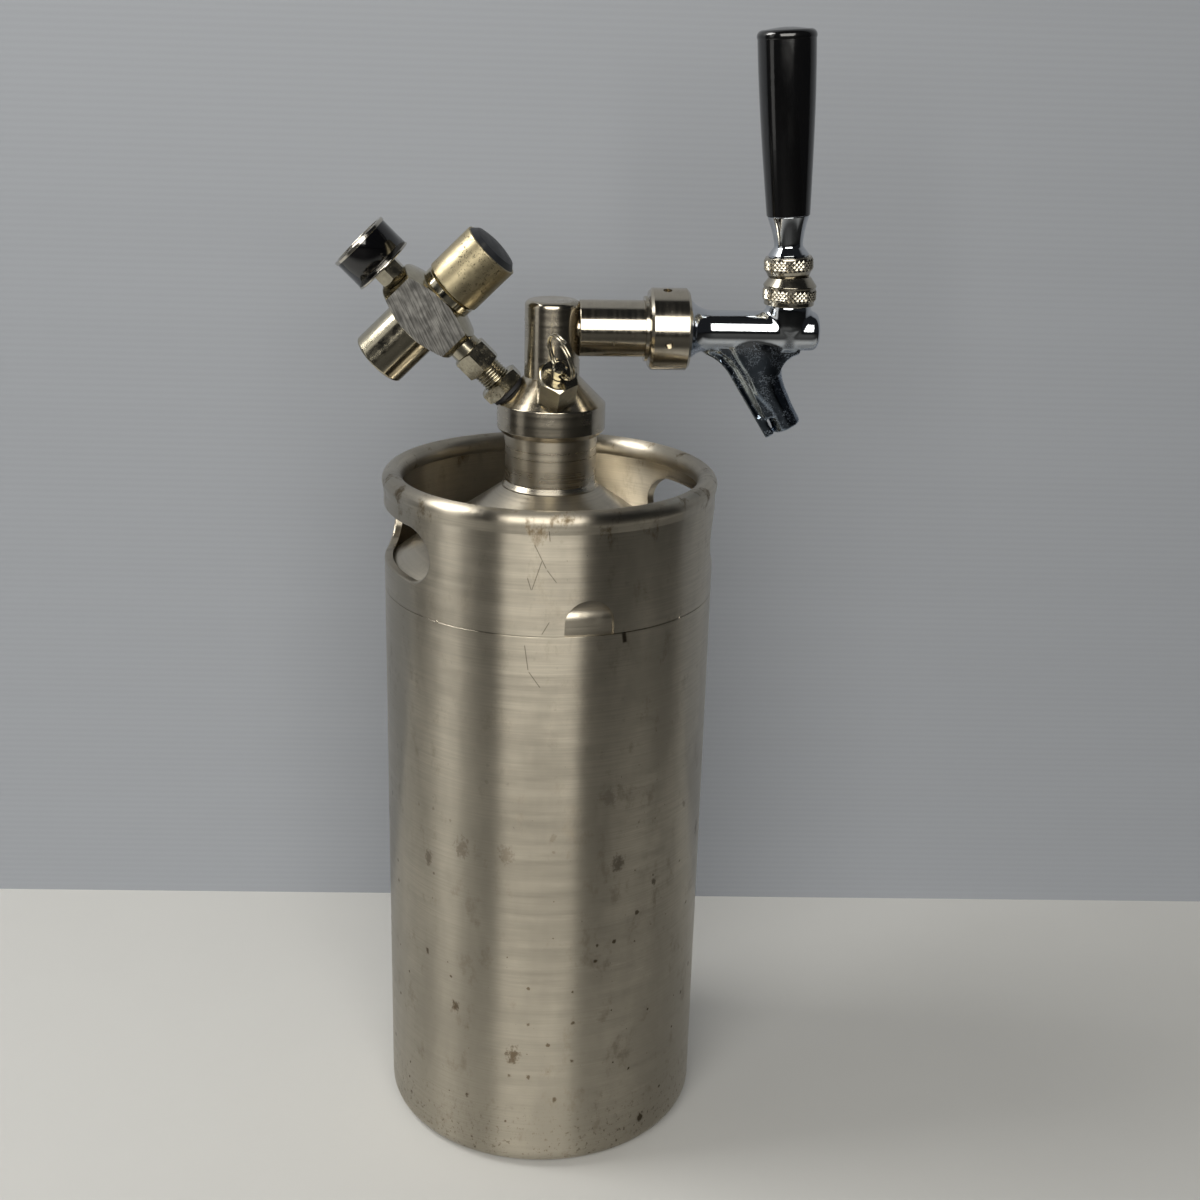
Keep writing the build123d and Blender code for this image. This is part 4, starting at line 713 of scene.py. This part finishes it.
def plain_mesh(name, data, *modifiers):
    """The plain mesh of a mesh or text once its modifiers, each a kind with its settings, have worked."""
    carrier = bpy.data.objects.new(name, data)
    bpy.context.scene.collection.objects.link(carrier)
    for kind, settings in modifiers:
        modifier = carrier.modifiers.new(kind.title(), kind)
        for key, value in settings.items():
            if key.startswith("Socket"):
                modifier[key] = value
            else:
                setattr(modifier, key, value)
    made = bpy.data.meshes.new_from_object(carrier.evaluated_get(bpy.context.evaluated_depsgraph_get()))
    carrier.modifiers.clear()
    bpy.data.objects.remove(carrier)
    return made


def grown(tree, mesh, place, **inputs):
    """The plain mesh that a tree makes from a mesh, moved onto a line."""
    settings = {"node_group": tree}
    for socket in tree.interface.items_tree:
        if socket.name in inputs:
            settings[socket.identifier] = inputs[socket.name]
    made = plain_mesh("carrier", mesh, ("NODES", settings))
    if not made.polygons:
        raise RuntimeError(f"{tree.name} made nothing")
    made.transform(place)
    return made


def coat(mesh, material):
    """Gives a mesh one material."""
    mesh.materials.clear()
    mesh.materials.append(material)


def empty_mesh():
    """A mesh of one point, for a tree that needs nothing to start from."""
    mesh = bpy.data.meshes.new("start")
    mesh.from_pydata([(0, 0, 0)], [], [])
    return mesh


def lathe(outline, place, material, steps=96, corner_steps=5):
    """A turned piece from its closed outline of (radius, height, fillet) corners, in millimetres."""
    points = rounded(outline, corner_steps)
    area = sum(points[i - 1].x * p.y - p.x * points[i - 1].y for i, p in enumerate(points))
    if area > 0:
        points.reverse()
    on_axis = [i for i, p in enumerate(points) if p.x < 1e-6]
    closed = not on_axis
    if on_axis:
        start = next(i for i in on_axis if points[i - 1].x < 1e-6)
        points = points[start:] + points[:start]
    mesh = bpy.data.meshes.new("outline")
    edges = [(i, i + 1) for i in range(len(points) - 1)] + ([(len(points) - 1, 0)] if closed else [])
    mesh.from_pydata([(p.x * MM - LATHE_RADIUS, -p.y * MM, 0) for p in points], edges, [])
    return grown(trees["turned"], mesh, place, Steps=steps, Material=material)


def one_sided(tree, shader):
    """Makes a stage sheet clear from behind, so that it hides nothing from other sides."""
    backfacing = add_node(tree, "ShaderNodeNewGeometry").outputs["Backfacing"]
    clear = out_of(tree, "ShaderNodeBsdfTransparent")
    either = out_of(tree, "ShaderNodeMixShader", {0: backfacing, 1: shader.outputs[0], 2: clear})
    tree.links.new(either, tree.nodes["Material Output"].inputs["Surface"])


def piece(name, meshes, body, slot, *nodes):
    """An object made of meshes, which rides on a body and stands for some nodes. The slot is not used."""
    joined = bmesh.new()
    materials = []
    for mesh in meshes:
        first = len(materials)
        materials += list(mesh.materials)
        start = len(joined.faces)
        joined.from_mesh(mesh)
        joined.faces.ensure_lookup_table()
        for face in joined.faces[start:]:
            face.material_index += first
    whole = bpy.data.meshes.new(name)
    joined.to_mesh(whole)
    joined.free()
    for material in materials:
        whole.materials.append(material)
    made = bpy.data.objects.new(name, whole)
    bpy.context.scene.collection.objects.link(made)
    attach(made, body)
    if nodes:
        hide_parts(*nodes)
    return made


def finish_nodes(*finishes):
    """Gives CAD nodes their finishes, from pairs of a material and the nodes that take it."""
    for material, names in finishes:
        for name in names.split():
            node = frame["nodes"][name]
            if not node.material_slots:
                node.data.materials.append(material)
            for slot in node.material_slots:
                slot.material = material


def outline_of(*parts):
    """One outline from corners and lists of points."""
    outline = []
    for part in parts:
        outline += part if isinstance(part, list) else [part]
    return outline


trees = {}
# the stage, in metres and degrees
KEG_TURN = math.radians(-2.5)  # how far the stage is turned round the keg
ROOM = (3, -4, 0.186, 3)  # half width, front, back and height
FLUTE = 3.6  # millimetres between the wall's flutes
LAMPS_AIM = (0, 0, 0.28)
LAMPS = (  # name, place, size, share of the main lamp's power, colour
    ("window lamp", (-0.13, -1.75, 1.17), (1.86, 1.45), 0.86, "#FFFCF5"),
    ("ceiling lamp", (-0.9, 0.02, 1.2), (0.6, 0.6), 0.25, "#FFFDF8"),
    ("side lamp", (-1.5, -0.62, 0.75), (0.5, 1.6), 0.036, "#FFFDF8"),
    ("back lamp", (0.5, 1.9, 1.5), (1.6, 1.2), 0.15, "#FFFDF8"),
)
CAMERA_ANGLES = (1.89, 19.07, 1.54)  # yaw, pitch and roll
CAMERA_FOCUS = 1662.68 / 1200  # focal length over the frame's width
CAMERA_PLACE = (0, -731.38, 511.63)  # millimetres


# ---------------------------------------------------------------- operators
class DISPENSER_OT_keg(bpy.types.Operator):
    """Builds the keg's shell, its welds and the finishes of its sheet and neck"""

    bl_idname = "dispenser.keg"
    bl_label = "Keg"

    def execute(self, context):
        keg = context.scene.dispenser.keg
        sheet = brushed_sheet("Brushed stainless sheet", keg.steel, keg.brushing)
        dome = turned_steel("Spun stainless dome", UPRIGHT, tinted(keg.steel, 0.95), 0.32, 1.2)
        neck = turned_steel("Turned stainless neck", UPRIGHT, keg.steel, 0.28, 0.8)
        bead = plated("Stainless weld bead", UPRIGHT, colour("#B7AF9F"), 0.24)[0]
        shell = [
            (0, 8), (47, 8, 3), (56, 0, 1.5), (75, 0, 12), (75, 267.5, 0.25), (74, 267.5, 0.25), (74, 1, 11),
            (56.38, 1, 2), (47.38, 9, 2.5), (0, 9),
        ]
        mesh = lathe(shell, UPRIGHT, sheet, keg.steps, 14)
        piece("keg_shell", [mesh], "keg", "brushed_keg_steel", "lower_shell")
        tacks = grown(
            trees["weld"], empty_mesh(), Matrix.Rotation(math.radians(48), 4, "Z"), Radius=74.55 * MM,
            Height=267.65 * MM, Size=keg.tack_size / 4, Drops=4, Seed=9, Material=bead,
        )
        piece("seam_tacks", [tacks], "keg", "turned_steel")
        finish_nodes((sheet, "collar lower_shell"), (dome, "upper_dome"), (neck, "neck"))
        return {"FINISHED"}


class DISPENSER_OT_head(bpy.types.Operator):
    """Finishes the tap head, its dip tube, the shank and the coupling nut"""

    bl_idname = "dispenser.head"
    bl_label = "Head and shank"

    def execute(self, context):
        steel = context.scene.dispenser.keg.steel
        head = turned_steel("Turned stainless head", UPRIGHT, tinted(steel, 1.0), 0.21, 0.6)
        bar = turned_steel("Polished stainless shank", TAP, tinted(steel, 1.0), 0.17, 0.6)
        tube = turned_steel("Drawn stainless tube", UPRIGHT, steel, 0.25, 0.5)
        rubber = moulded("Moulded nitrile rubber", UPRIGHT, colour("#15151A"), 0.6)
        wire = turned_steel("Drawn spring wire", UPRIGHT, colour("#B9B2A0"), 0.12, 0.2)
        finish_nodes(
            (head, "spear_head"),
            (bar, "shank coupling_nut snap_ring"),
            (tube, "dip_tube"),
            (rubber, "head_seal dip_tube_seal shank_gasket gas_grommet relief_seal"),
            (wire, "relief_spring pull_ring range_spring"),
        )
        return {"FINISHED"}


class DISPENSER_OT_gas_line(bpy.types.Operator):
    """Builds the threaded stud and finishes the nuts of the gas line and the relief valve"""

    bl_idname = "dispenser.gas_line"
    bl_label = "Gas line and relief valve"

    def execute(self, context):
        regulator = context.scene.dispenser.regulator
        tint = regulator.nickel
        fitting = nickel("Nickel-plated brass fitting", GAS, tinted(tint, 0.95), 0.17, 0.6, 0.3)
        valve = nickel("Nickel-plated relief valve", RELIEF, tinted(tint, 0.92), 0.15, 0.5)
        brass = nickel("Machined brass", GAS, colour(BRASS), 0.22, 0.4)
        pitch = regulator.thread_pitch
        core = 6.5 - regulator.thread_depth / MM
        stud = [
            (2.5, -7.9), (4.9, -7.9, 0.3), (4.9, -0.9), (core, -0.9), (core, 21.8, 0.4), (core - 0.4, 22, 0.1),
            (2.5, 22),
        ]
        turns = 15.2 * MM / pitch
        thread = grown(
            trees["coil"], empty_mesh(), further(GAS, 0.9), Radius=core * MM, Pitch=pitch, Turns=turns,
            Wire=regulator.thread_depth, Sides=4, Material=fitting,
        )
        piece(
            "threaded_stud", [lathe(stud, GAS, fitting, 64), thread], "tap_head", "nickel_fittings", "gas_stud"
        )
        finish_nodes(
            (fitting, "gas_stud lock_nut swivel_nut gas_nipple gauge_stem"),
            (valve, "relief_body relief_stem relief_plug"),
            (brass, "poppet spring_button adjusting_screw"),
        )
        return {"FINISHED"}


class DISPENSER_OT_regulator(bpy.types.Operator):
    """Builds the regulator's knob and finishes its block, bonnet and cartridge cup"""

    bl_idname = "dispenser.regulator"
    bl_label = "Regulator"

    def execute(self, context):
        tint = context.scene.dispenser.regulator.nickel
        block = milled_block("Milled nickel-plated block", KNOB, tint)
        bonnet = nickel("Polished nickel bonnet", KNOB, tinted(tint, 1.1), 0.10, 0.3)
        cup = nickel("Polished nickel cup", CUP, tinted(tint, 0.98), 0.14, 0.5, 0.25)
        knob = nickel("Worn nickel-plated knob", KNOB, colour("#B7AB8C"), 0.34, 0.5, 0.85)
        cap = moulded("Moulded black cap", KNOB, colour("#202226"), 0.42, 3.0, 0.01)
        pin = turned_steel("Ground steel pin", CUP, colour("#C8C6C2"), 0.12)
        outline = [
            (11.8, 15.3, 0.2), (13.5, 15.3, 0.5), (13.5, 38.7, 0.8), (12.9, 38.95, 0.2), (12.3, 38.7, 0.1),
            (3.1, 38.7), (3.1, 37.0), (11.8, 37.0, 0.5),
        ]
        mesh = lathe(outline, KNOB, knob, 128, 6)
        piece("knob_sleeve", [mesh], "knob", "nickel_knob", "regulator_knob")
        finish_nodes(
            (block, "regulator_block"),
            (bonnet, "regulator_bonnet"),
            (cup, "cartridge_cup"),
            (knob, "regulator_knob"),
            (cap, "knob_cap"),
            (pin, "piercing_pin"),
            (bpy.data.materials["Moulded nitrile rubber"], "diaphragm cup_seal"),
        )
        return {"FINISHED"}


class DISPENSER_OT_gauge(bpy.types.Operator):
    """Builds the gauge's case, bezel and dial marks"""

    bl_idname = "dispenser.gauge"
    bl_label = "Pressure gauge"

    def execute(self, context):
        regulator = context.scene.dispenser.regulator
        enamel = polished_black("Stoved black enamel", GAUGE, colour("#08080A"), 0.07)
        bright = turned_steel("Bright pressed bezel", GAUGE, colour("#CDC8BE"), 0.12, 0.3)
        white = moulded("Printed white dial", GAUGE, colour("#E9E8E2"), 0.45, 2.0, 0.004)
        ink = moulded("Black printing ink", GAUGE, colour("#111111"), 0.5, 2.0, 0.004)
        case = [
            (12.8, 27.7, 0.3), (12.8, 41.2), (13.8, 41.2, 0.15), (13.8, 27.7), (2.5, 27.7),
        ]
        rim = [
            (2.5, 26.7), (14.25, 26.7, 0.45), (14.25, 27.7, 0.45), (13.7, 27.75), (2.5, 27.75),
        ]
        piece(
            "gauge_can", [lathe(case, GAUGE, enamel, 128), lathe(rim, GAUGE, bright, 128)], "tap_head",
            "black_gauge_enamel", "gauge_case",
        )
        bezel = [
            (13.85, 40.9, 0.1), (14.25, 40.9, 0.15), (14.25, 42.2, 0.4), (13.95, 42.55, 0.2),
            (12.3, 42.55, 0.2), (12.3, 42.1), (13.85, 42.1),
        ]
        piece("gauge_ring", [lathe(bezel, GAUGE, bright, 128)], "tap_head", "gauge_chrome", "gauge_bezel")
        marks = grown(
            trees["tick"], empty_mesh(), further(GAUGE, 38.62), Radius=11.2 * MM, Bar=1.0 * MM,
            Marks=regulator.ticks, Material=ink,
        )
        figures = []
        for place, figure in enumerate(FIGURES):
            turn = math.radians(DIAL_START - DIAL_SWEEP * place / (len(FIGURES) - 1))
            text = bpy.data.curves.new("figure", "FONT")
            text.body, text.size, text.extrude = figure, 2.4 * MM, 0.03 * MM
            text.align_x, text.align_y = "CENTER", "CENTER"
            made = plain_mesh("figure", text)
            made.transform(Matrix.Translation(Vector((math.cos(turn), math.sin(turn), 0)) * 7.6 * MM))
            made.transform(further(GAUGE, 38.63))
            coat(made, ink)
            figures.append(made)
        piece("dial_marks", [marks, *figures], "tap_head", "needle_black")
        finish_nodes(
            (enamel, "gauge_case"),
            (bright, "gauge_bezel"),
            (white, "gauge_dial"),
            (ink, "gauge_needle"),
            (clear_lens("Clear moulded lens"), "gauge_lens"),
        )
        return {"FINISHED"}


class DISPENSER_OT_faucet(bpy.types.Operator):
    """Builds the faucet's casting and its knurled bonnet"""

    bl_idname = "dispenser.faucet"
    bl_label = "Faucet"

    def execute(self, context):
        faucet = context.scene.dispenser.faucet
        chrome = bloomed_chrome_with_painted_shade("Chrome-plated casting", faucet.chrome)
        knurled = nickel("Knurled nickel plate", BOSS, colour("#BDB6A6"), 0.16, 0.6)
        brass = nickel("Machined valve brass", TAP, colour(BRASS), 0.22, 0.4)
        casting = frame["nodes"]["faucet_body"].data.copy()
        fills, bores = bpy.data.meshes.new("fills"), bpy.data.meshes.new("bores")
        with edited(fills) as opened:
            for half, corners in CASTING_FILLS:
                left, right = (
                    [opened.verts.new(Vector((x, y, TAP_AXIS + z)) * MM) for x, z in corners]
                    for y in (-half, half)
                )
                opened.faces.new(left)
                opened.faces.new(reversed(right))
                for i in range(len(corners)):
                    opened.faces.new((right[i - 1], right[i], left[i], left[i - 1]))
            bmesh.ops.recalc_face_normals(opened, faces=opened.faces)
        with edited(bores) as opened:
            for place, radius, start, end in CASTING_BORES:
                size = {"radius1": radius * MM, "radius2": radius * MM, "depth": (end - start) * MM}
                middle = further(place, (start + end) / 2)
                bmesh.ops.create_cone(opened, cap_ends=True, segments=64, matrix=middle, **size)
        cutter = bpy.data.objects.new("bores", bores)
        context.scene.collection.objects.link(cutter)
        cut = {"operation": "DIFFERENCE", "solver": "EXACT", "use_self": True, "object": cutter}
        fills = plain_mesh("fills", fills, ("BOOLEAN", cut))
        bpy.data.objects.remove(cutter)
        with edited(casting) as merged:
            bmesh.ops.remove_doubles(merged, verts=merged.verts, dist=1e-6)
            merged.from_mesh(fills)
            bmesh.ops.recalc_face_normals(merged, faces=merged.faces)
        grain = {"mode": "VOXEL", "voxel_size": faucet.voxel, "use_smooth_shade": True}
        polish = {"factor": 0.5, "iterations": CASTING_POLISH}
        cast = plain_mesh("carrier", casting, ("REMESH", grain), ("SMOOTH", polish))
        root = Vector((RIB_ROOT[0], 0, TAP_AXIS + RIB_ROOT[1])) * MM
        every = {"use_axis_x": True, "use_axis_y": True, "use_axis_z": True}
        with edited(cast) as merged:
            near = [v for v in merged.verts if (v.co - root).length < RIB_ROOT_REACH * MM]
            for _ in range(RIB_ROOT_POLISH):
                bmesh.ops.smooth_vert(merged, verts=near, factor=0.5, **every)
        coat(cast, chrome)
        piece("faucet_casting", [cast], "tap_head", "faucet_chrome", "faucet_body")
        bonnet = [
            (9.4, 11.7), (11.1, 11.7, 0.3), (11.1, 13.5, 0.15), (11.35, 13.7, 0.1), (11.35, 19.4, 0.1),
            (11.7, 19.7, 0.2), (11.7, 20.3, 0.3), (8.9, 24.2, 0.4), (8.2, 24.2, 0.2), (6.4, 19.2), (9.4, 19.2),
        ]
        body = lathe(bonnet, BOSS, knurled, 96)
        knurl = grown(
            trees["knurl"], empty_mesh(), BOSS, Radius=11.42 * MM, Foot=13.7 * MM, Depth=faucet.knurl_depth,
            Columns=faucet.knurl_columns, Rows=4, Material=knurled,
        )
        piece("knurled_bonnet", [body, knurl], "tap_head", "knurled_nickel", "faucet_bonnet")
        finish_nodes(
            (chrome, "faucet_body"),
            (knurled, "faucet_bonnet"),
            (brass, "ball_washer valve_shaft shaft_nut"),
            (bpy.data.materials["Moulded nitrile rubber"], "seat_washer"),
        )
        return {"FINISHED"}


class DISPENSER_OT_lever(bpy.types.Operator):
    """Builds the lever's lock ring and ferrule and finishes the handle"""

    bl_idname = "dispenser.lever"
    bl_label = "Lever and handle"

    def execute(self, context):
        faucet = context.scene.dispenser.faucet
        knurled = nickel("Knurled lock ring plate", LEVER, colour("#BDB6A6"), 0.16, 0.6)
        bright = nickel("Chrome-plated ferrule", LEVER, faucet.chrome, 0.05, 0.3)
        grip = polished_black("Polished black phenolic", LEVER, faucet.handle)
        brass = nickel("Turned brass insert", LEVER, colour(BRASS), 0.22, 0.4)
        recess = arc((9.72, 10.625), (7.9, 12.04), (5.9, 13.135), 6)
        ring = outline_of(
            (4.05, 13.82), (5.9, 13.135), [(r, h, 0) for r, h, f in reversed(recess[:-1])], (9.72, 12.5, 0.1),
            (10.35, 13.6, 0.2), (10.35, 18.8, 0.2), (10.1, 19.5, 0.2), (4.05, 19.5),
        )
        knurl = grown(
            trees["knurl"], empty_mesh(), LEVER, Radius=10.42 * MM, Foot=13.6 * MM, Depth=faucet.knurl_depth,
            Columns=faucet.knurl_columns - 4, Rows=4, Material=knurled,
        )
        body = lathe(ring, LEVER, knurled, 96)
        piece("knurled_lock_ring", [body, knurl], "tap_lever", "knurled_nickel", "lock_ring")
        flare = arc((6.3, 25.4), (7.38, 31.25), (9.3, 37.1), 12)
        ferrule = outline_of(
            (4.05, 19.5), (8.8, 19.5, 0.2), (8.8, 20.6, 0.3), (6.3, 23.9, 1.6), (6.3, 25.4), flare[:-1],
            (9.3, 37.1, 0.25), (4.05, 37.1),
        )
        piece("waisted_ferrule", [lathe(ferrule, LEVER, bright, 96)], "tap_lever", "faucet_chrome", "ferrule")
        finish_nodes(
            (knurled, "lock_ring"),
            (bright, "ferrule lever"),
            (grip, "tap_handle"),
            (brass, "grip_insert"),
        )
        return {"FINISHED"}


class DISPENSER_OT_stage(bpy.types.Operator):
    """Builds the floor, the wall, the lamps and the camera"""

    bl_idname = "dispenser.stage"
    bl_label = "Stage"

    def execute(self, context):
        settings = context.scene.dispenser.stage
        turn = Matrix.Rotation(KEG_TURN, 4, "Z")
        floor, tree, shader, point = new_finish(
            "Painted board floor", UPRIGHT, Roughness=0.6, Specular_IOR_Level=0.1
        )
        grain = noise(tree, point, (0.02, 0.02, 0.02), 4.0)
        board = mixed(tree, grain, tinted(settings.floor, 0.97), settings.floor)
        x, y = apart(tree, point)[:2]
        # painted shade: the floor fades to near black from 160 to 480 mm in front and from 420 to 900 mm to
        # each side, standing in for the dark room
        aside = between(tree, maths(tree, "ABSOLUTE", x), 420, 900)
        painted_shade_far = maths(tree, "MAXIMUM", between(tree, y, -160, -480), aside)
        join(tree, shader, Base_Color=mixed(tree, painted_shade_far, board, tinted(settings.floor, 0.06)))
        one_sided(tree, shader)
        wall, tree, shader, point = new_finish("Painted board wall", UPRIGHT, Roughness=0.6)
        flutes = maths(tree, "SINE", times(tree, apart(tree, point)[2], math.tau / FLUTE))
        uneven = noise(tree, point, (0.002, 0.002, 0.03), 2.0)
        ribs = plus(tree, times(tree, flutes, 0.3), uneven)
        light = mixed(tree, between(tree, ribs, 0.1, 0.9), tinted(settings.wall, 0.965), settings.wall)
        join(tree, shader, Base_Color=light)
        one_sided(tree, shader)
        wide, front, back, high = ROOM
        sheets = (
            ("floor", floor, [(-wide, front, 0), (wide, front, 0), (wide, back, 0), (-wide, back, 0)]),
            ("wall", wall, [(-wide, back, 0), (wide, back, 0), (wide, back, high), (-wide, back, high)]),
        )
        for name, material, corners in sheets:
            mesh = bpy.data.meshes.new(name)
            mesh.from_pydata(corners, [], [(0, 1, 2, 3)])
            mesh.transform(turn)
            mesh.materials.append(material)
            made = bpy.data.objects.new(name, mesh)
            context.scene.collection.objects.link(made)
        for name, place, size, share, tint in LAMPS:
            lamp = bpy.data.lights.new(name, "AREA")
            lamp.shape, lamp.size, lamp.size_y = "RECTANGLE", size[0], size[1]
            lamp.energy = settings.lamp * share
            lamp.color = colour(tint)[:3]
            made = bpy.data.objects.new(name, lamp)
            aim = (Vector(LAMPS_AIM) - Vector(place)).to_track_quat("-Z", "Y").to_matrix().to_4x4()
            made.matrix_world = turn @ (Matrix.Translation(place) @ aim)
            made.visible_camera = False
            context.scene.collection.objects.link(made)
        world = bpy.data.worlds.new("Soft room")
        world.use_nodes = True
        sky = world.node_tree.nodes["Background"].inputs
        sky["Color"].default_value, sky["Strength"].default_value = colour("#8C9096"), 0.06
        context.scene.world = world
        context.scene.view_settings.view_transform = "Standard"
        yaw, pitch, roll = (math.radians(angle) for angle in CAMERA_ANGLES)
        ahead = Vector((math.sin(yaw) * math.cos(pitch), math.cos(yaw) * math.cos(pitch), -math.sin(pitch)))
        right = Vector((math.cos(yaw), -math.sin(yaw), 0))
        up = right.cross(ahead)
        level = right * math.cos(roll) + up * math.sin(roll)
        upward = up * math.cos(roll) - right * math.sin(roll)
        data = bpy.data.cameras.new("camera")
        data.sensor_width, data.lens = 36, 36 * CAMERA_FOCUS
        data.clip_start = 0.01
        camera = bpy.data.objects.new("camera", data)
        view = Matrix((level, upward, -ahead)).transposed().to_4x4()
        view.translation = Vector(CAMERA_PLACE) * MM
        camera.matrix_world = turn @ view
        context.scene.collection.objects.link(camera)
        context.scene.camera = camera
        return {"FINISHED"}


class DISPENSER_PT_panel(bpy.types.Panel):
    """Lists the dispenser's pieces"""

    bl_idname = "DISPENSER_PT_panel"
    bl_label = "Dispenser"
    bl_space_type = "VIEW_3D"
    bl_region_type = "UI"
    bl_category = "Dispenser"

    def draw(self, context):
        for step in STEPS:
            self.layout.operator(step.bl_idname)
        for group in ("keg", "faucet", "regulator", "stage"):
            settings = getattr(context.scene.dispenser, group)
            box = self.layout.box()
            for name in settings.__annotations__:
                box.prop(settings, name)


STEPS = (
    DISPENSER_OT_keg,
    DISPENSER_OT_head,
    DISPENSER_OT_gas_line,
    DISPENSER_OT_regulator,
    DISPENSER_OT_gauge,
    DISPENSER_OT_faucet,
    DISPENSER_OT_lever,
    DISPENSER_OT_stage,
)
GROUPS = (KegSettings, FaucetSettings, RegulatorSettings, StageSettings, DispenserSettings)


def register():
    for made in (*GROUPS, *STEPS, DISPENSER_PT_panel):
        bpy.utils.register_class(made)
    bpy.types.Scene.dispenser = PointerProperty(type=DispenserSettings)


def unregister():
    del bpy.types.Scene.dispenser
    for made in reversed((*GROUPS, *STEPS, DISPENSER_PT_panel)):
        bpy.utils.unregister_class(made)


def main():
    register()
    for make in (turned_tree, coil_tree, knurl_tree, weld_tree, tick_tree):
        trees[make.__name__.removesuffix("_tree")] = make()
    for step in STEPS:
        group, name = step.bl_idname.split(".")
        getattr(getattr(bpy.ops, group), name)()


if __name__ == "__main__":
    main()
